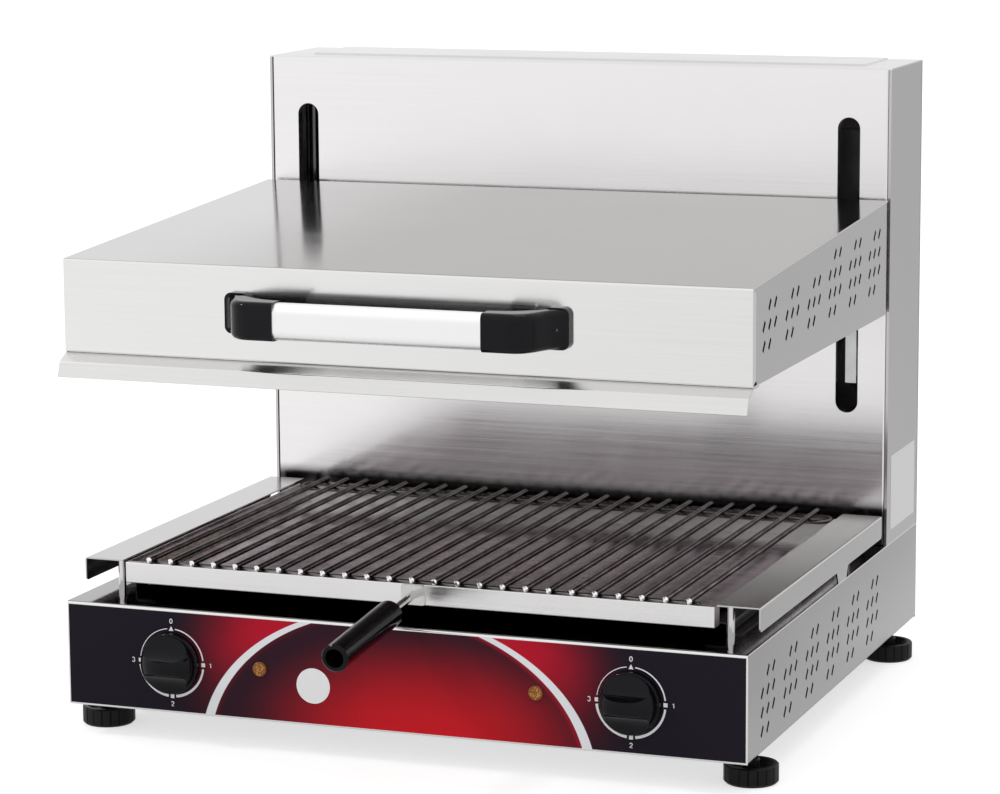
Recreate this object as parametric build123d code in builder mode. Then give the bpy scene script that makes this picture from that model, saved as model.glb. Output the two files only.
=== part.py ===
"""Lift-type electric salamander grill (cheese melter).

A low base carries a drip tray with a wire grid. A column at the back holds a heated hood, which
rides on two guide rods behind two slots and is balanced by a weight on two cables.

Millimetres. +X right, +Y to the back, +Z up. The origin is on the floor, under the middle of the
object's box: the tray's handle reaches out in front of the base and the cable gland behind it.
"""

from build123d import *
import os
from math import cos, radians, sin, sqrt, tan

os.makedirs("parts", exist_ok=True)

# ---------------------------------------------------------------- driving dimensions
body_width = 600.0
base_depth = 550.0
base_height = 90.0
column_height = 430.0
column_depth = 112.4
sheet = 1.2  # stainless sheet of all casings
bend = 2.0  # outside radius of a fold
seat_gap = 0.3  # between pieces of different bodies that lie on each other
running_gap = 0.05  # radial, shaft in bore
loose_gap = 0.1  # radial, stud, screw or spindle in a plain hole

# feet
foot_height = 27.0
foot_diameter = 45.0
foot_pad_height = 16.0
foot_cup_depth = 4.5
foot_stem_diameter = 14.0
foot_stem_top = 20.0
foot_ribs = 18
foot_rib_depth = 0.8
stud_diameter = 8.0
stud_above_nut = 3.0
nut_flats = 13.0
nut_height = 6.5
foot_from_side = 11.5
foot_from_front = 50.0
foot_from_back = 58.0

# base
base_lip = 15.0  # fold under the front panel
base_flange = 24.0  # fold under each side panel
overlay_thickness = 0.5
overlay_side_margin = 1.4
overlay_top_margin = 2.6
overlay_bottom_margin = 2.2

# side vents: short slanted slots in groups
vent_length = 11.5
vent_width = 1.9
vent_slant = 38.0  # degrees, leaning back
vent_row_pitch = 15.8
vent_slot_pitch = 16.2
base_vent_columns = 6
base_vent_pitch = 66.3
base_vent_start = 41.5  # first slot, from the front panel
base_vent_height = 17.7  # lowest row, above the underside
hood_vent_columns = 6
hood_vent_pitch = 65.6
hood_vent_start = 35.0
hood_vent_height = 28.0
hood_tall_vent_columns = 3  # the rear columns have one row more

# controls
knob_spacing = 406.0
knob_height = 44.0  # above the base's underside
knob_diameter = 52.0
knob_skirt = 6.0
knob_reach = 22.5
knob_bar_thickness = 8.0
knob_scoop_floor = 7.0
knob_scoop_radius = 22.0
knob_air_gap = 1.0
spindle_diameter = 6.0
spindle_grip = 12.0  # length inside the knob
spindle_depth = 16.0  # length inside the switch
spindle_hole = 10.0
switch_size = 42.0
switch_depth = 30.0
switch_corner = 4.0
switch_tag_count = 4
switch_tag_pitch = 9.0
switch_tag = (6.0, 0.8, 9.0)
lamp_spacing = 244.0
lamp_height = 45.0
lamp_lens = 12.5
lamp_barrel = 10.0
lamp_proud = 2.2
lamp_chamfer = 0.8
lamp_depth = 24.0

# supply
gland_x = -200.0
gland_height = 30.0
gland_bore = 10.4
gland_thread = 20.0
gland_hex = 24.0
gland_reach = 18.0
gland_collar = 6.0
gland_locknut = 5.0
gland_thread_end = 2.0  # past the locknut
gland_dome_inset = 1.0
gland_dome_taper = 12.0  # degrees
terminal_count = 4
terminal_pitch = 13.0
terminal_size = (58.0, 20.0, 22.0)
terminal_from_back = 60.0
terminal_screw_well = (3.0, 8.0)  # radius and depth
terminal_wire_hole = (2.0, 7.0)  # radius and height

# shelf rails beside the tray
rail_width = 36.0
rail_height = 30.5  # top, above the base's top
rail_flange = 18.5
rail_front = 35.0  # from the front panel
rail_from_back = 130.0
rail_tab_front = 273.0
rail_tab_length = 32.0
rail_tab_slope = 6.0
rail_corner = 3.0
post_diameter = 6.5
post_from_side = 28.5
post_from_ends = (13.0, 16.0)  # front and back post, from the rail's ends

# drip tray
tray_sheet = 1.0
tray_clearance = 2.5  # to each rail
tray_bottom = 11.0  # above the base's top
tray_front_height = 17.8
tray_front = 35.0
tray_from_back = 147.0
tray_top_lip = 6.0
tray_back_rim = 18.0
tray_slope_width = 13.0
tray_end_return = 14.0
tray_fold = 0.9  # outside radius of its front folds
runner_ledge = 18.0
runner_foot = 12.0
runner_from_ends = (25.0, 11.0)  # front and back, from the tray's ends
runner_clearance = 2.5

# wire grid
rod_pitch = 20.0
rod_diameter = 5.0
rod_tip = 1.2  # chamfer of the rods' ends
rod_overhang = 0.7  # in front of the tray
rod_tail = 19.0  # behind the tray's floor
cross_wire = 4.0
weld_depth = 0.5
loop_width = 25.0
loop_forward = 12.0  # its front wire, in front of the end of the tray's floor
loop_side_gap = 4.5  # to the tray's side
front_wire_inset = 11.0  # behind the tray's front
front_wire_overhang = 6.0  # past the outer rods

# tray handle
handle_x = 2.0
handle_tilt = 5.3  # degrees, drooping to the front
handle_length = 168.0
handle_rod = 7.0
handle_root_height = 20.0  # above the base's top
handle_plate = (21.0, 17.0, 1.5)
handle_plate_corner = 2.0
grip_diameter = 23.0
grip_edge = 1.2
grip_start = 52.0
grip_bore = 15.5
grip_bore_depth = 42.0
rod_in_grip = 60.0

# column
column_hem = 12.0
column_gap = 1.0  # front panel to base
column_return = 12.0
slot_from_side = 38.5
slot_width = 20.5
slot_spare_low = 4.0  # beyond the arm at the ends of its travel
slot_spare_high = 11.0
slot_collar = 9.0
lid_from_side = 32.0
lid_front = 30.0  # from the column's front
lid_overlap = 7.0
lid_corner = 2.0

# lift mechanism, depths are from the column's front
lift_down = 112.0
lift_up = 85.0
guide_from_side = 25.0
guide_diameter = 16.0
guide_depth = 45.0
guide_end_gap = 3.0
bracket_height = 16.0
bracket_half_depth = 15.0
bracket_side = 17.0
carriage_bar_width = 10.0
carriage_bar_front = 14.0
carriage_bar_depth = 12.0
carriage_bar_below = 67.0  # under the hood
carriage_bar_above = 90.0  # over the hood's underside
arm_low = 24.0
arm_high = 78.0
arm_plate = 3.0
arm_plate_half_width = 20.0
arm_plate_margin = 3.0  # above and below the arm
arm_plate_corner = 3.0
arm_screw_inset = (7.0, 8.0)  # from the plate's side and end
block_height = 25.0
block_half_width = 17.0
block_back = 64.0
lower_block = -62.0  # over the hood's underside
upper_block = 53.0
bush_diameter = 24.0
lug_low = 16.0
lug_thickness = 6.0
lug_inner_margin = 8.0  # inside the cable's axis
lug_back = 82.0
lug_rod_clearance = 3.0
cable_depth = 75.0
cable_diameter = 3.0
pulley_inside_guide = 70.0
pulley_below_top = 40.0
pulley_pitch_radius = 25.0
pulley_flange = 4.0  # rim outside the pitch radius
pulley_edge = 1.5  # thickness of the rim's edges
pulley_groove_room = 0.2
pulley_width = 12.0
axle_diameter = 8.0
axle_head = 14.0
axle_head_thickness = 4.0
crossbar_depth = 99.0
crossbar_past_axle = 40.0
crossbar_half_height = 25.0
crossbar_sheet = 2.5
weight_past_cable = 10.0
weight_thickness = 36.0
weight_height = 120.0  # balances the hood with its carriages
weight_bottom = 112.0  # above the base's top
weight_chamfer = 3.0

# hood
hood_gap = 212.0  # underside above the base's top, as in the picture
hood_setback = 9.0
hood_rear_gap = 8.6
hood_front_height = 79.0
hood_back_height = 102.0
hood_flange = 15.0
hood_tab = 8.5
hood_tab_chamfer = 5.0
lip_start = 18.0
lip_reach = 11.0
lip_slope_drop = 6.5
lip_drop = 19.0
lip_splay = 4.5
lip_top_gap = 2.0
reflector_sheet = 1.0
reflector_height = 33.0
reflector_taper = 42.0  # degrees, its front and back slopes from upright
blanket_height = 34.0
blanket_margin = 50.0  # inside the reflector's foot
blanket_corner = 4.0

# heating elements
element_diameter = 8.0
element_height = 14.0  # axis, above the hood's underside
element_runs = 6
element_start = 32.0  # first run, from the middle
element_side_gap = 63.6  # outer run, inside the reflector's foot
element_front = 42.0
element_turn_back = 60.0  # rear turns, from the hood's back
element_end = 12.0
support_diameter = 4.0
support_positions = (95.0, 320.0)

# hood handle
pull_span = 300.0
pull_height = 40.5  # above the hood's underside
pull_reach = 45.0
pull_tube_length = 180.0
pull_tube_size = (20.0, 30.0)
pull_tube_radius = 8.0
pull_tube_wall = 1.5
pull_socket = 8.0
pull_end_wall = 0.9
pull_foot_width = 21.0
pull_foot_height = 34.0
pull_foot_thickness = 5.0
pull_foot_corner = 6.0
pull_foot_merge = 0.5
pull_neck_inset = 1.0  # neck inside the foot's edges
pull_flat = 22.0
pull_round = 5.0
pull_screw_reach = 11.0  # behind the hood's front sheet

# screws
screw_m4 = 4.0
screw_m5 = 5.0
screw_m6 = 6.0
hex_head_ratio = 1.6  # across flats, in screw diameters
hex_head_height = 0.7  # in screw diameters
pan_head = 8.0
pan_head_height = 2.2
pan_head_edge = 0.6
rear_screw_length = 6.0
back_screw_inset = 20.0  # from the column's ends
base_screw_inset = 60.0

# ---------------------------------------------------------------- places worked out
half_width = body_width / 2
base_bottom = foot_height
base_top = base_bottom + base_height
column_top = base_top + column_height

grip_reach = (
    handle_length * cos(radians(handle_tilt))
    + (grip_diameter / 2 - grip_edge) * sin(radians(handle_tilt))
    - tray_front
)
front_y = (grip_reach - base_depth - gland_reach) / 2
back_y = front_y + base_depth
column_y = back_y - column_depth
inner_side = half_width - sheet

hood_y = front_y + hood_setback
hood_back_y = column_y - hood_rear_gap
hood_bottom = base_top + hood_gap
hood_depth = hood_back_y - hood_y
hood_slope = (hood_back_height - hood_front_height) / hood_depth

knob_back_y = front_y - overlay_thickness - knob_air_gap
tray_y = front_y + tray_front
tray_back_y = back_y - tray_from_back
tray_half_width = half_width - rail_width - tray_clearance
tray_z = base_top + tray_bottom
tray_front_top = tray_z + tray_front_height
rod_z = tray_front_top + seat_gap + rod_diameter / 2
cross_wire_z = rod_z - rod_diameter / 2 - cross_wire / 2 + weld_depth
tray_side_height = cross_wire_z - cross_wire / 2 - seat_gap - tray_z
slot_x = half_width - slot_from_side
guide_x = half_width - guide_from_side
guide_y = column_y + guide_depth
cable_y = column_y + cable_depth
pulley_x = guide_x - pulley_inside_guide
pulley_z = column_top - pulley_below_top
outer_run_x = pulley_x + pulley_pitch_radius
inner_run_x = pulley_x - pulley_pitch_radius
weight_z = base_top + weight_bottom
element_z = hood_bottom + element_height
pull_z = hood_bottom + pull_height


# ---------------------------------------------------------------- helpers
def level(z):
    """Horizontal plane at a height."""
    return Plane.XY.offset(z)


def side_plane(x):
    """Plane across X: its own x runs to the back, its own y runs up."""
    return Plane.YZ.offset(x)


def front_plane(y):
    """Plane that faces the front: its own x runs right, its own y runs up."""
    return Plane.XZ.offset(-y)


def folded(plane, points, side=Side.LEFT, thickness=sheet, radius=bend):
    """Section of a folded sheet: the points run along one of its skins."""
    with BuildSketch(plane) as section:
        with BuildLine():
            FilletPolyline(*points, radius=radius)
            offset(amount=thickness, side=side)
        make_face()
    return section.sketch


def vent_places(columns, pitch, start, low, tall_columns=0):
    """Centres of the slanted slots: three rows in a column of slots, four in a tall one."""
    places = []
    for column in range(columns):
        tall = column >= columns - tall_columns
        rows = [(0, 1), (0, 1, 2), (0, 1, 2), (1, 2)] if tall else [(0, 1), (0, 1, 2), (1, 2)]
        for row, slots in enumerate(rows):
            for slot in slots:
                y = start + column * pitch + slot * vent_slot_pitch
                places.append((y, low + row * vent_row_pitch))
    return places


def finish(piece, name):
    """Labels a finished piece and writes it to its file."""
    piece.part.label = name
    export_step(piece.part, f"parts/{name}.step")


def place_pair(x, z):
    """The same height left and right of the middle."""
    return [(-x, z), (x, z)]


# ---------------------------------------------------------------- base casing
foot_spots = {
    "front_left": (-(half_width - foot_from_side), front_y + foot_from_front),
    "front_right": (half_width - foot_from_side, front_y + foot_from_front),
    "back_left": (-(half_width - foot_from_side), back_y - foot_from_back),
    "back_right": (half_width - foot_from_side, back_y - foot_from_back),
}
stud_hole = stud_diameter / 2 + loose_gap
knob_spots = place_pair(knob_spacing / 2, base_bottom + knob_height)
lamp_spots = place_pair(lamp_spacing / 2, base_bottom + lamp_height)

with BuildPart() as base_cover:
    cover_path = [
        (front_y + base_lip, base_bottom),
        (front_y, base_bottom),
        (front_y, base_top),
        (back_y, base_top),
    ]
    extrude(folded(side_plane(-half_width), cover_path, Side.RIGHT), amount=body_width)
    with BuildSketch(level(base_bottom - 1)):
        with Locations((-half_width, front_y + sheet + base_lip), (half_width, front_y + sheet + base_lip)):
            Rectangle(2 * (sheet + loose_gap), 2 * base_lip)
    extrude(amount=sheet + bend + 1, mode=Mode.SUBTRACT)
    with BuildSketch(front_plane(front_y - 1)):
        with Locations(*knob_spots):
            Circle(spindle_hole / 2)
        with Locations(*lamp_spots):
            Circle(lamp_barrel / 2 + loose_gap)
    extrude(amount=-(sheet + 2), mode=Mode.SUBTRACT)
finish(base_cover, "base_cover")

base_screw_xs = (-half_width + base_screw_inset, half_width - base_screw_inset)
base_screw_z = base_bottom + base_height / 2

with BuildPart() as base_side_right:
    side_path = [
        (half_width - base_flange, base_bottom),
        (half_width, base_bottom),
        (half_width, base_top - sheet),
    ]
    wall_plane = front_plane(front_y + sheet)
    extrude(folded(wall_plane, side_path), amount=-(base_depth - 2 * sheet))
    with BuildSketch(level(base_bottom - 1)):
        with Locations((half_width - base_flange, front_y)):
            Rectangle(2 * (base_flange - sheet), 2 * (base_lip + loose_gap))
    extrude(amount=1 + sheet + bend, mode=Mode.SUBTRACT)
    front_corners = base_side_right.edges().filter_by(Axis.X).group_by(Axis.Y)[0]
    chamfer(front_corners.group_by(Axis.Z)[-1], bend)
    with BuildSketch(side_plane(half_width + 1)):
        vents = vent_places(
            base_vent_columns, base_vent_pitch, base_vent_start, base_vent_height, base_vent_columns
        )
        with Locations(*[(front_y + y, base_bottom + z) for y, z in vents]):
            Rectangle(vent_width, vent_length, rotation=-vent_slant)
    extrude(amount=-(sheet + 2), mode=Mode.SUBTRACT)
    with Locations(*[Location((x, y, base_bottom)) for x, y in foot_spots.values() if x > 0]):
        Hole(stud_hole, depth=2 * sheet)
finish(base_side_right, "base_side_right")

with BuildPart() as base_side_left:
    mirror(base_side_right.part, about=Plane.YZ)
finish(base_side_left, "base_side_left")

with BuildPart() as base_rear_panel:
    with BuildSketch(front_plane(back_y - sheet)):
        with Locations((0, base_bottom + (base_height - sheet) / 2)):
            Rectangle(body_width, base_height - sheet)
        with Locations((gland_x, base_bottom + gland_height)):
            Circle(gland_thread / 2 + loose_gap, mode=Mode.SUBTRACT)
        with Locations(*[(x, base_screw_z) for x in base_screw_xs]):
            Circle(screw_m4 / 2 + loose_gap, mode=Mode.SUBTRACT)
    extrude(amount=-sheet)
finish(base_rear_panel, "base_rear_panel")

floor_margin = sheet + bend
floor_z = base_bottom + sheet

with BuildPart() as base_floor:
    with BuildSketch(level(floor_z)):
        with Locations((0, front_y + base_depth / 2)):
            Rectangle(body_width - 2 * floor_margin, base_depth - 2 * floor_margin)
        with Locations(*foot_spots.values()):
            Circle(stud_hole, mode=Mode.SUBTRACT)
    extrude(amount=sheet)
finish(base_floor, "base_floor")

with BuildPart() as foot_nuts:
    with BuildSketch(level(floor_z + sheet)):
        with Locations(*foot_spots.values()):
            RegularPolygon(nut_flats / 2, 6, major_radius=False)
            Circle(stud_hole, mode=Mode.SUBTRACT)
    extrude(amount=nut_height)
finish(foot_nuts, "foot_nuts")


# ---------------------------------------------------------------- levelling feet
def levelling_foot(x, y):
    """Ribbed pad with a dished top, moulded round a threaded stud."""
    radius = foot_diameter / 2
    rim = 2.0
    stud_top = floor_z + sheet + nut_height + stud_above_nut
    with BuildPart() as foot:
        with BuildSketch(Plane.XZ):
            with BuildLine():
                Polyline(
                    (0, 0),
                    (radius - rim, 0),
                    (radius, rim),
                    (radius, foot_pad_height - rim / 2),
                    (radius - rim / 2, foot_pad_height),
                    (radius - 2 * rim, foot_pad_height),
                    (radius - 3.5 * rim, foot_pad_height - foot_cup_depth),
                    (foot_stem_diameter / 2, foot_pad_height - foot_cup_depth),
                    (foot_stem_diameter / 2, foot_stem_top - rim / 2),
                    (foot_stem_diameter / 2 - rim / 2, foot_stem_top),
                    (stud_diameter / 2, foot_stem_top),
                    (stud_diameter / 2, stud_top - rim / 2),
                    (stud_diameter / 2 - rim / 2, stud_top),
                    (0, stud_top),
                    close=True,
                )
            make_face()
        revolve(axis=Axis.Z)
        with BuildSketch(level(rim)):
            with PolarLocations(radius, foot_ribs):
                RegularPolygon(foot_rib_depth, 4)
        extrude(amount=foot_pad_height, mode=Mode.SUBTRACT)
    with BuildPart() as placed:
        with Locations((x, y)):
            add(foot.part)
    return placed


for corner, (foot_x, foot_y) in foot_spots.items():
    finish(levelling_foot(foot_x, foot_y), f"levelling_foot_{corner}")

# ---------------------------------------------------------------- controls
with BuildPart() as control_overlay:
    overlay_low = base_bottom + overlay_bottom_margin
    overlay_high = base_top - overlay_top_margin
    with BuildSketch(front_plane(front_y)):
        with Locations((0, (overlay_low + overlay_high) / 2)):
            Rectangle(body_width - 2 * overlay_side_margin, overlay_high - overlay_low)
        with Locations(*knob_spots):
            Circle(spindle_hole / 2, mode=Mode.SUBTRACT)
        with Locations(*lamp_spots):
            Circle(lamp_barrel / 2 + loose_gap, mode=Mode.SUBTRACT)
    extrude(amount=overlay_thickness)
finish(control_overlay, "control_overlay")


def control_knob(x, z):
    """Round knob, domed, with a scoop above and below a grip bar."""
    radius = knob_diameter / 2
    rim = 1.5
    with BuildPart() as knob:
        with BuildSketch(Plane.XY):
            with BuildLine():
                Polyline((0, 0), (radius, 0), (radius, knob_skirt - rim))
                RadiusArc((radius, knob_skirt - rim), (radius - rim, knob_skirt), -rim)
                EllipticalCenterArc((0, knob_skirt), radius - rim, knob_reach - knob_skirt, arc_size=90)
                Line((0, knob_reach), (0, 0))
            make_face()
        revolve(axis=Axis.Y)
        scoop_z = knob_bar_thickness / 2 + knob_scoop_radius
        with BuildSketch(Plane.YZ.offset(-radius)):
            with Locations(*[(knob_scoop_floor + knob_scoop_radius, side * scoop_z) for side in (-1, 1)]):
                Circle(knob_scoop_radius)
        extrude(amount=2 * radius, mode=Mode.SUBTRACT)
        with BuildSketch(Plane.XZ):
            Circle(spindle_diameter / 2 + running_gap)
        extrude(amount=-spindle_grip, mode=Mode.SUBTRACT)
    with BuildPart() as placed:
        with Locations(Location((x, knob_back_y, z), (0, 0, 180))):
            add(knob.part)
    return placed


def switch_spindle(x, z):
    """Spindle with a flat at its front end, from inside the switch to inside the knob."""
    tip_y = knob_back_y - spindle_grip + loose_gap
    root_y = front_y + sheet + spindle_depth
    with BuildPart() as spindle:
        with BuildSketch(front_plane(root_y)):
            with Locations((x, z)):
                Circle(spindle_diameter / 2)
        extrude(amount=root_y - tip_y)
        with BuildSketch(front_plane(tip_y)):
            with Locations((x, z + spindle_diameter * 0.75)):
                Rectangle(spindle_diameter, spindle_diameter)
        extrude(amount=-(spindle_grip - 2), mode=Mode.SUBTRACT)
    return spindle


for side, (knob_x, knob_z) in zip(("left", "right"), knob_spots):
    finish(control_knob(knob_x, knob_z), f"knob_{side}")
    finish(switch_spindle(knob_x, knob_z), f"switch_spindle_{side}")

switch_y = front_y + sheet

tag_width, tag_thickness, tag_length = switch_tag

with BuildPart() as rotary_switches:
    with BuildSketch(front_plane(switch_y)):
        with Locations(*knob_spots):
            RectangleRounded(switch_size, switch_size, switch_corner)
    extrude(amount=-switch_depth)
    with BuildSketch(front_plane(switch_y + switch_depth)):
        for knob_x, knob_z in knob_spots:
            with Locations((knob_x, knob_z)):
                with GridLocations(switch_tag_pitch, 2 * switch_tag_pitch, switch_tag_count, 2):
                    Rectangle(tag_width, tag_thickness)
    extrude(amount=-tag_length)
    with BuildSketch(front_plane(switch_y)):
        with Locations(*knob_spots):
            Circle(spindle_diameter / 2 + running_gap)
    extrude(amount=-(spindle_depth + 1), mode=Mode.SUBTRACT)
finish(rotary_switches, "rotary_switches")

overlay_y = front_y - overlay_thickness

with BuildPart() as pilot_lamps:
    with BuildSketch(front_plane(overlay_y)):
        with Locations(*lamp_spots):
            Circle(lamp_lens / 2)
    extrude(amount=lamp_proud)
    chamfer(pilot_lamps.edges().group_by(Axis.Y)[0], lamp_chamfer)
    with BuildSketch(front_plane(overlay_y)):
        with Locations(*lamp_spots):
            Circle(lamp_barrel / 2)
    extrude(amount=-lamp_depth)
finish(pilot_lamps, "pilot_lamps")

# ---------------------------------------------------------------- supply inside the base
with BuildPart() as terminal_block:
    length, width, height = terminal_size
    well_radius, well_depth = terminal_screw_well
    hole_radius, hole_height = terminal_wire_hole
    block_y = back_y - terminal_from_back
    with BuildSketch(level(floor_z + sheet)):
        with Locations((gland_x, block_y)):
            Rectangle(length, width)
    extrude(amount=height)
    with BuildSketch(level(floor_z + sheet + height)):
        with Locations((gland_x, block_y)):
            with GridLocations(terminal_pitch, 0, terminal_count, 1):
                Circle(well_radius)
    extrude(amount=-well_depth, mode=Mode.SUBTRACT)
    with BuildSketch(front_plane(block_y - width / 2)):
        with Locations((gland_x, floor_z + sheet + hole_height)):
            with GridLocations(terminal_pitch, 0, terminal_count, 1):
                Circle(hole_radius)
    extrude(amount=-width, mode=Mode.SUBTRACT)
finish(terminal_block, "terminal_block")

gland_z = base_bottom + gland_height
gland_inside = sheet + gland_locknut + gland_thread_end

with BuildPart() as cable_gland:
    with BuildSketch(front_plane(back_y)):
        with Locations((gland_x, gland_z)):
            RegularPolygon(gland_hex / 2, 6, major_radius=False)
    extrude(amount=-gland_collar)
    with BuildSketch(front_plane(back_y + gland_collar)):
        with Locations((gland_x, gland_z)):
            Circle(gland_hex / 2 - gland_dome_inset)
    extrude(amount=-(gland_reach - gland_collar), taper=gland_dome_taper)
    with BuildSketch(front_plane(back_y)):
        with Locations((gland_x, gland_z)):
            Circle(gland_thread / 2)
    extrude(amount=gland_inside)
    with BuildSketch(front_plane(back_y - sheet)):
        with Locations((gland_x, gland_z)):
            RegularPolygon(gland_hex / 2, 6, major_radius=False)
    extrude(amount=gland_locknut)
    with BuildSketch(front_plane(back_y + gland_reach)):
        with Locations((gland_x, gland_z)):
            Circle(gland_bore / 2)
    extrude(amount=gland_reach + gland_inside, mode=Mode.SUBTRACT)
finish(cable_gland, "cable_gland")

# ---------------------------------------------------------------- rails beside the tray
rail_top = base_top + rail_height
rail_inner = half_width - rail_width
rail_length = base_depth - rail_from_back - rail_front

with BuildPart() as side_rail_right:
    rail_path = [(rail_inner, rail_top), (half_width, rail_top), (half_width, rail_top - rail_flange)]
    extrude(folded(front_plane(front_y + rail_front), rail_path, Side.RIGHT), amount=-rail_length)
    flange_corners = side_rail_right.edges().filter_by(Axis.X).group_by(Axis.Z)[0]
    fillet(flange_corners, rail_corner)
    with BuildSketch(side_plane(inner_side)):
        tab_y = front_y + rail_tab_front
        tab_end = tab_y + rail_tab_length
        with BuildLine():
            Polyline(
                (tab_y, base_top),
                (tab_end - rail_tab_slope, base_top),
                (tab_end, rail_top - rail_flange + 1),
                (tab_y - rail_tab_slope, rail_top - rail_flange + 1),
                close=True,
            )
        make_face()
    extrude(amount=sheet)
finish(side_rail_right, "side_rail_right")

with BuildPart() as side_rail_left:
    mirror(side_rail_right.part, about=Plane.YZ)
finish(side_rail_left, "side_rail_left")

post_x = half_width - post_from_side
post_ys = (
    front_y + rail_front + post_from_ends[0],
    front_y + rail_front + rail_length - post_from_ends[1],
)

with BuildPart() as rail_posts:
    with BuildSketch(level(base_top)):
        with Locations(*[(x, y) for y in post_ys for x in (-post_x, post_x)]):
            Circle(post_diameter / 2)
    extrude(amount=rail_height - sheet)
finish(rail_posts, "rail_posts")

runner_x = tray_half_width + runner_clearance
runner_top = tray_z - seat_gap

with BuildPart() as tray_runners:
    runner_path = [
        (runner_x - runner_ledge, runner_top - sheet),
        (runner_x, runner_top - sheet),
        (runner_x, base_top),
        (runner_x + runner_foot, base_top),
    ]
    runner_section = folded(front_plane(tray_y + runner_from_ends[0]), runner_path)
    extrude(runner_section, amount=-(tray_back_y - tray_y - sum(runner_from_ends)))
    mirror(about=Plane.YZ)
finish(tray_runners, "tray_runners")

# ---------------------------------------------------------------- drip tray and its handle
tray_floor_half = tray_half_width - tray_slope_width

with BuildPart() as drip_tray:
    channel_path = [
        (-tray_half_width, tray_front_top),
        (-tray_half_width, tray_z + tray_side_height),
        (-tray_floor_half, tray_z),
        (tray_floor_half, tray_z),
        (tray_half_width, tray_z + tray_side_height),
        (tray_half_width, tray_front_top),
    ]
    channel = folded(front_plane(tray_y), channel_path, thickness=tray_sheet)
    extrude(channel, amount=-(tray_back_y - tray_y))
    with BuildSketch(front_plane(tray_y)):
        with Locations((0, tray_z + tray_front_height / 2)):
            Rectangle(2 * tray_half_width, tray_front_height)
    extrude(amount=-tray_sheet)
    with BuildSketch(level(tray_front_top)):
        with Locations((0, tray_y + tray_top_lip / 2)):
            Rectangle(2 * tray_half_width, tray_top_lip)
    extrude(amount=-tray_sheet)
    for way in (-1, 1):
        with BuildSketch(side_plane(way * (tray_half_width - tray_sheet / 2))):
            with Locations((tray_y + tray_end_return / 2, tray_z + tray_front_height / 2)):
                Rectangle(tray_end_return, tray_front_height)
        extrude(amount=tray_sheet / 2, both=True)
    with BuildSketch(front_plane(tray_back_y)):
        with BuildLine():
            Polyline(
                (-tray_floor_half, tray_z),
                (tray_floor_half, tray_z),
                (tray_half_width, tray_z + tray_side_height),
                (-tray_half_width, tray_z + tray_side_height),
                close=True,
            )
        make_face()
    extrude(amount=tray_sheet)
    with BuildSketch(level(tray_z + tray_side_height)):
        with Locations((0, tray_back_y + (tray_back_rim - tray_sheet) / 2)):
            Rectangle(2 * tray_floor_half, tray_back_rim + tray_sheet)
    extrude(amount=-tray_sheet)
    front_folds = drip_tray.edges().filter_by(Axis.X).group_by(Axis.Y)[0]
    fillet([front_folds.sort_by(Axis.Z)[0], front_folds.sort_by(Axis.Z)[-1]], tray_fold)
finish(drip_tray, "drip_tray")

plate_width, plate_height, plate_thickness = handle_plate
droop = radians(handle_tilt)
handle_axis = Plane(
    origin=(handle_x, tray_y, base_top + handle_root_height),
    x_dir=(1, 0, 0),
    z_dir=(0, -cos(droop), -sin(droop)),
)

with BuildPart() as tray_handle_rod:
    with BuildSketch(front_plane(tray_y)):
        with Locations((handle_x, tray_z + tray_front_height / 2)):
            RectangleRounded(plate_width, plate_height, handle_plate_corner)
    extrude(amount=plate_thickness)
    with BuildSketch(handle_axis.offset(plate_thickness / 2)):
        Circle(handle_rod / 2)
    extrude(amount=grip_start + rod_in_grip - plate_thickness / 2)
finish(tray_handle_rod, "tray_handle_rod")

grip_length = handle_length - grip_start

with BuildPart() as tray_handle_grip:
    with BuildSketch(handle_axis.offset(grip_start)):
        Circle(grip_diameter / 2)
    extrude(amount=grip_length)
    chamfer(tray_handle_grip.edges().filter_by(GeomType.CIRCLE), grip_edge)
    with BuildSketch(handle_axis.offset(handle_length)):
        Circle(grip_bore / 2)
    extrude(amount=-grip_bore_depth, mode=Mode.SUBTRACT)
    with BuildSketch(handle_axis.offset(grip_start)):
        Circle(handle_rod / 2 + loose_gap)
    extrude(amount=rod_in_grip + loose_gap, mode=Mode.SUBTRACT)
finish(tray_handle_grip, "tray_handle_grip")

# ---------------------------------------------------------------- wire grid
grid_front_y = tray_y - rod_overhang
grid_length = tray_back_y + rod_tail - grid_front_y
loop_radius = loop_width / 2
loop_y = tray_back_y - loop_forward + loop_radius
straight = tray_half_width - loop_side_gap - loop_radius
rods_each_side = int(straight // rod_pitch)
front_wire_half_length = rods_each_side * rod_pitch + front_wire_overhang

with BuildPart() as wire_grid:
    with BuildSketch(front_plane(grid_front_y)):
        with Locations((0, rod_z)):
            with GridLocations(rod_pitch, 0, 2 * rods_each_side + 1, 1):
                Circle(rod_diameter / 2)
    extrude(amount=-grid_length)
    chamfer(wire_grid.edges().filter_by(GeomType.CIRCLE), rod_tip)
    with BuildLine(level(cross_wire_z)):
        Line((0, loop_y + loop_radius), (straight, loop_y + loop_radius))
        CenterArc((straight, loop_y), loop_radius, 90, -180)
        Line((straight, loop_y - loop_radius), (-straight, loop_y - loop_radius))
        CenterArc((-straight, loop_y), loop_radius, 270, -180)
        Line((-straight, loop_y + loop_radius), (0, loop_y + loop_radius))
    with BuildSketch(Plane(origin=(0, loop_y + loop_radius, cross_wire_z), z_dir=(1, 0, 0))):
        Circle(cross_wire / 2)
    sweep()
    with BuildSketch(side_plane(-front_wire_half_length)):
        with Locations((tray_y + front_wire_inset, cross_wire_z)):
            Circle(cross_wire / 2)
    extrude(amount=2 * front_wire_half_length)
finish(wire_grid, "wire_grid")

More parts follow.
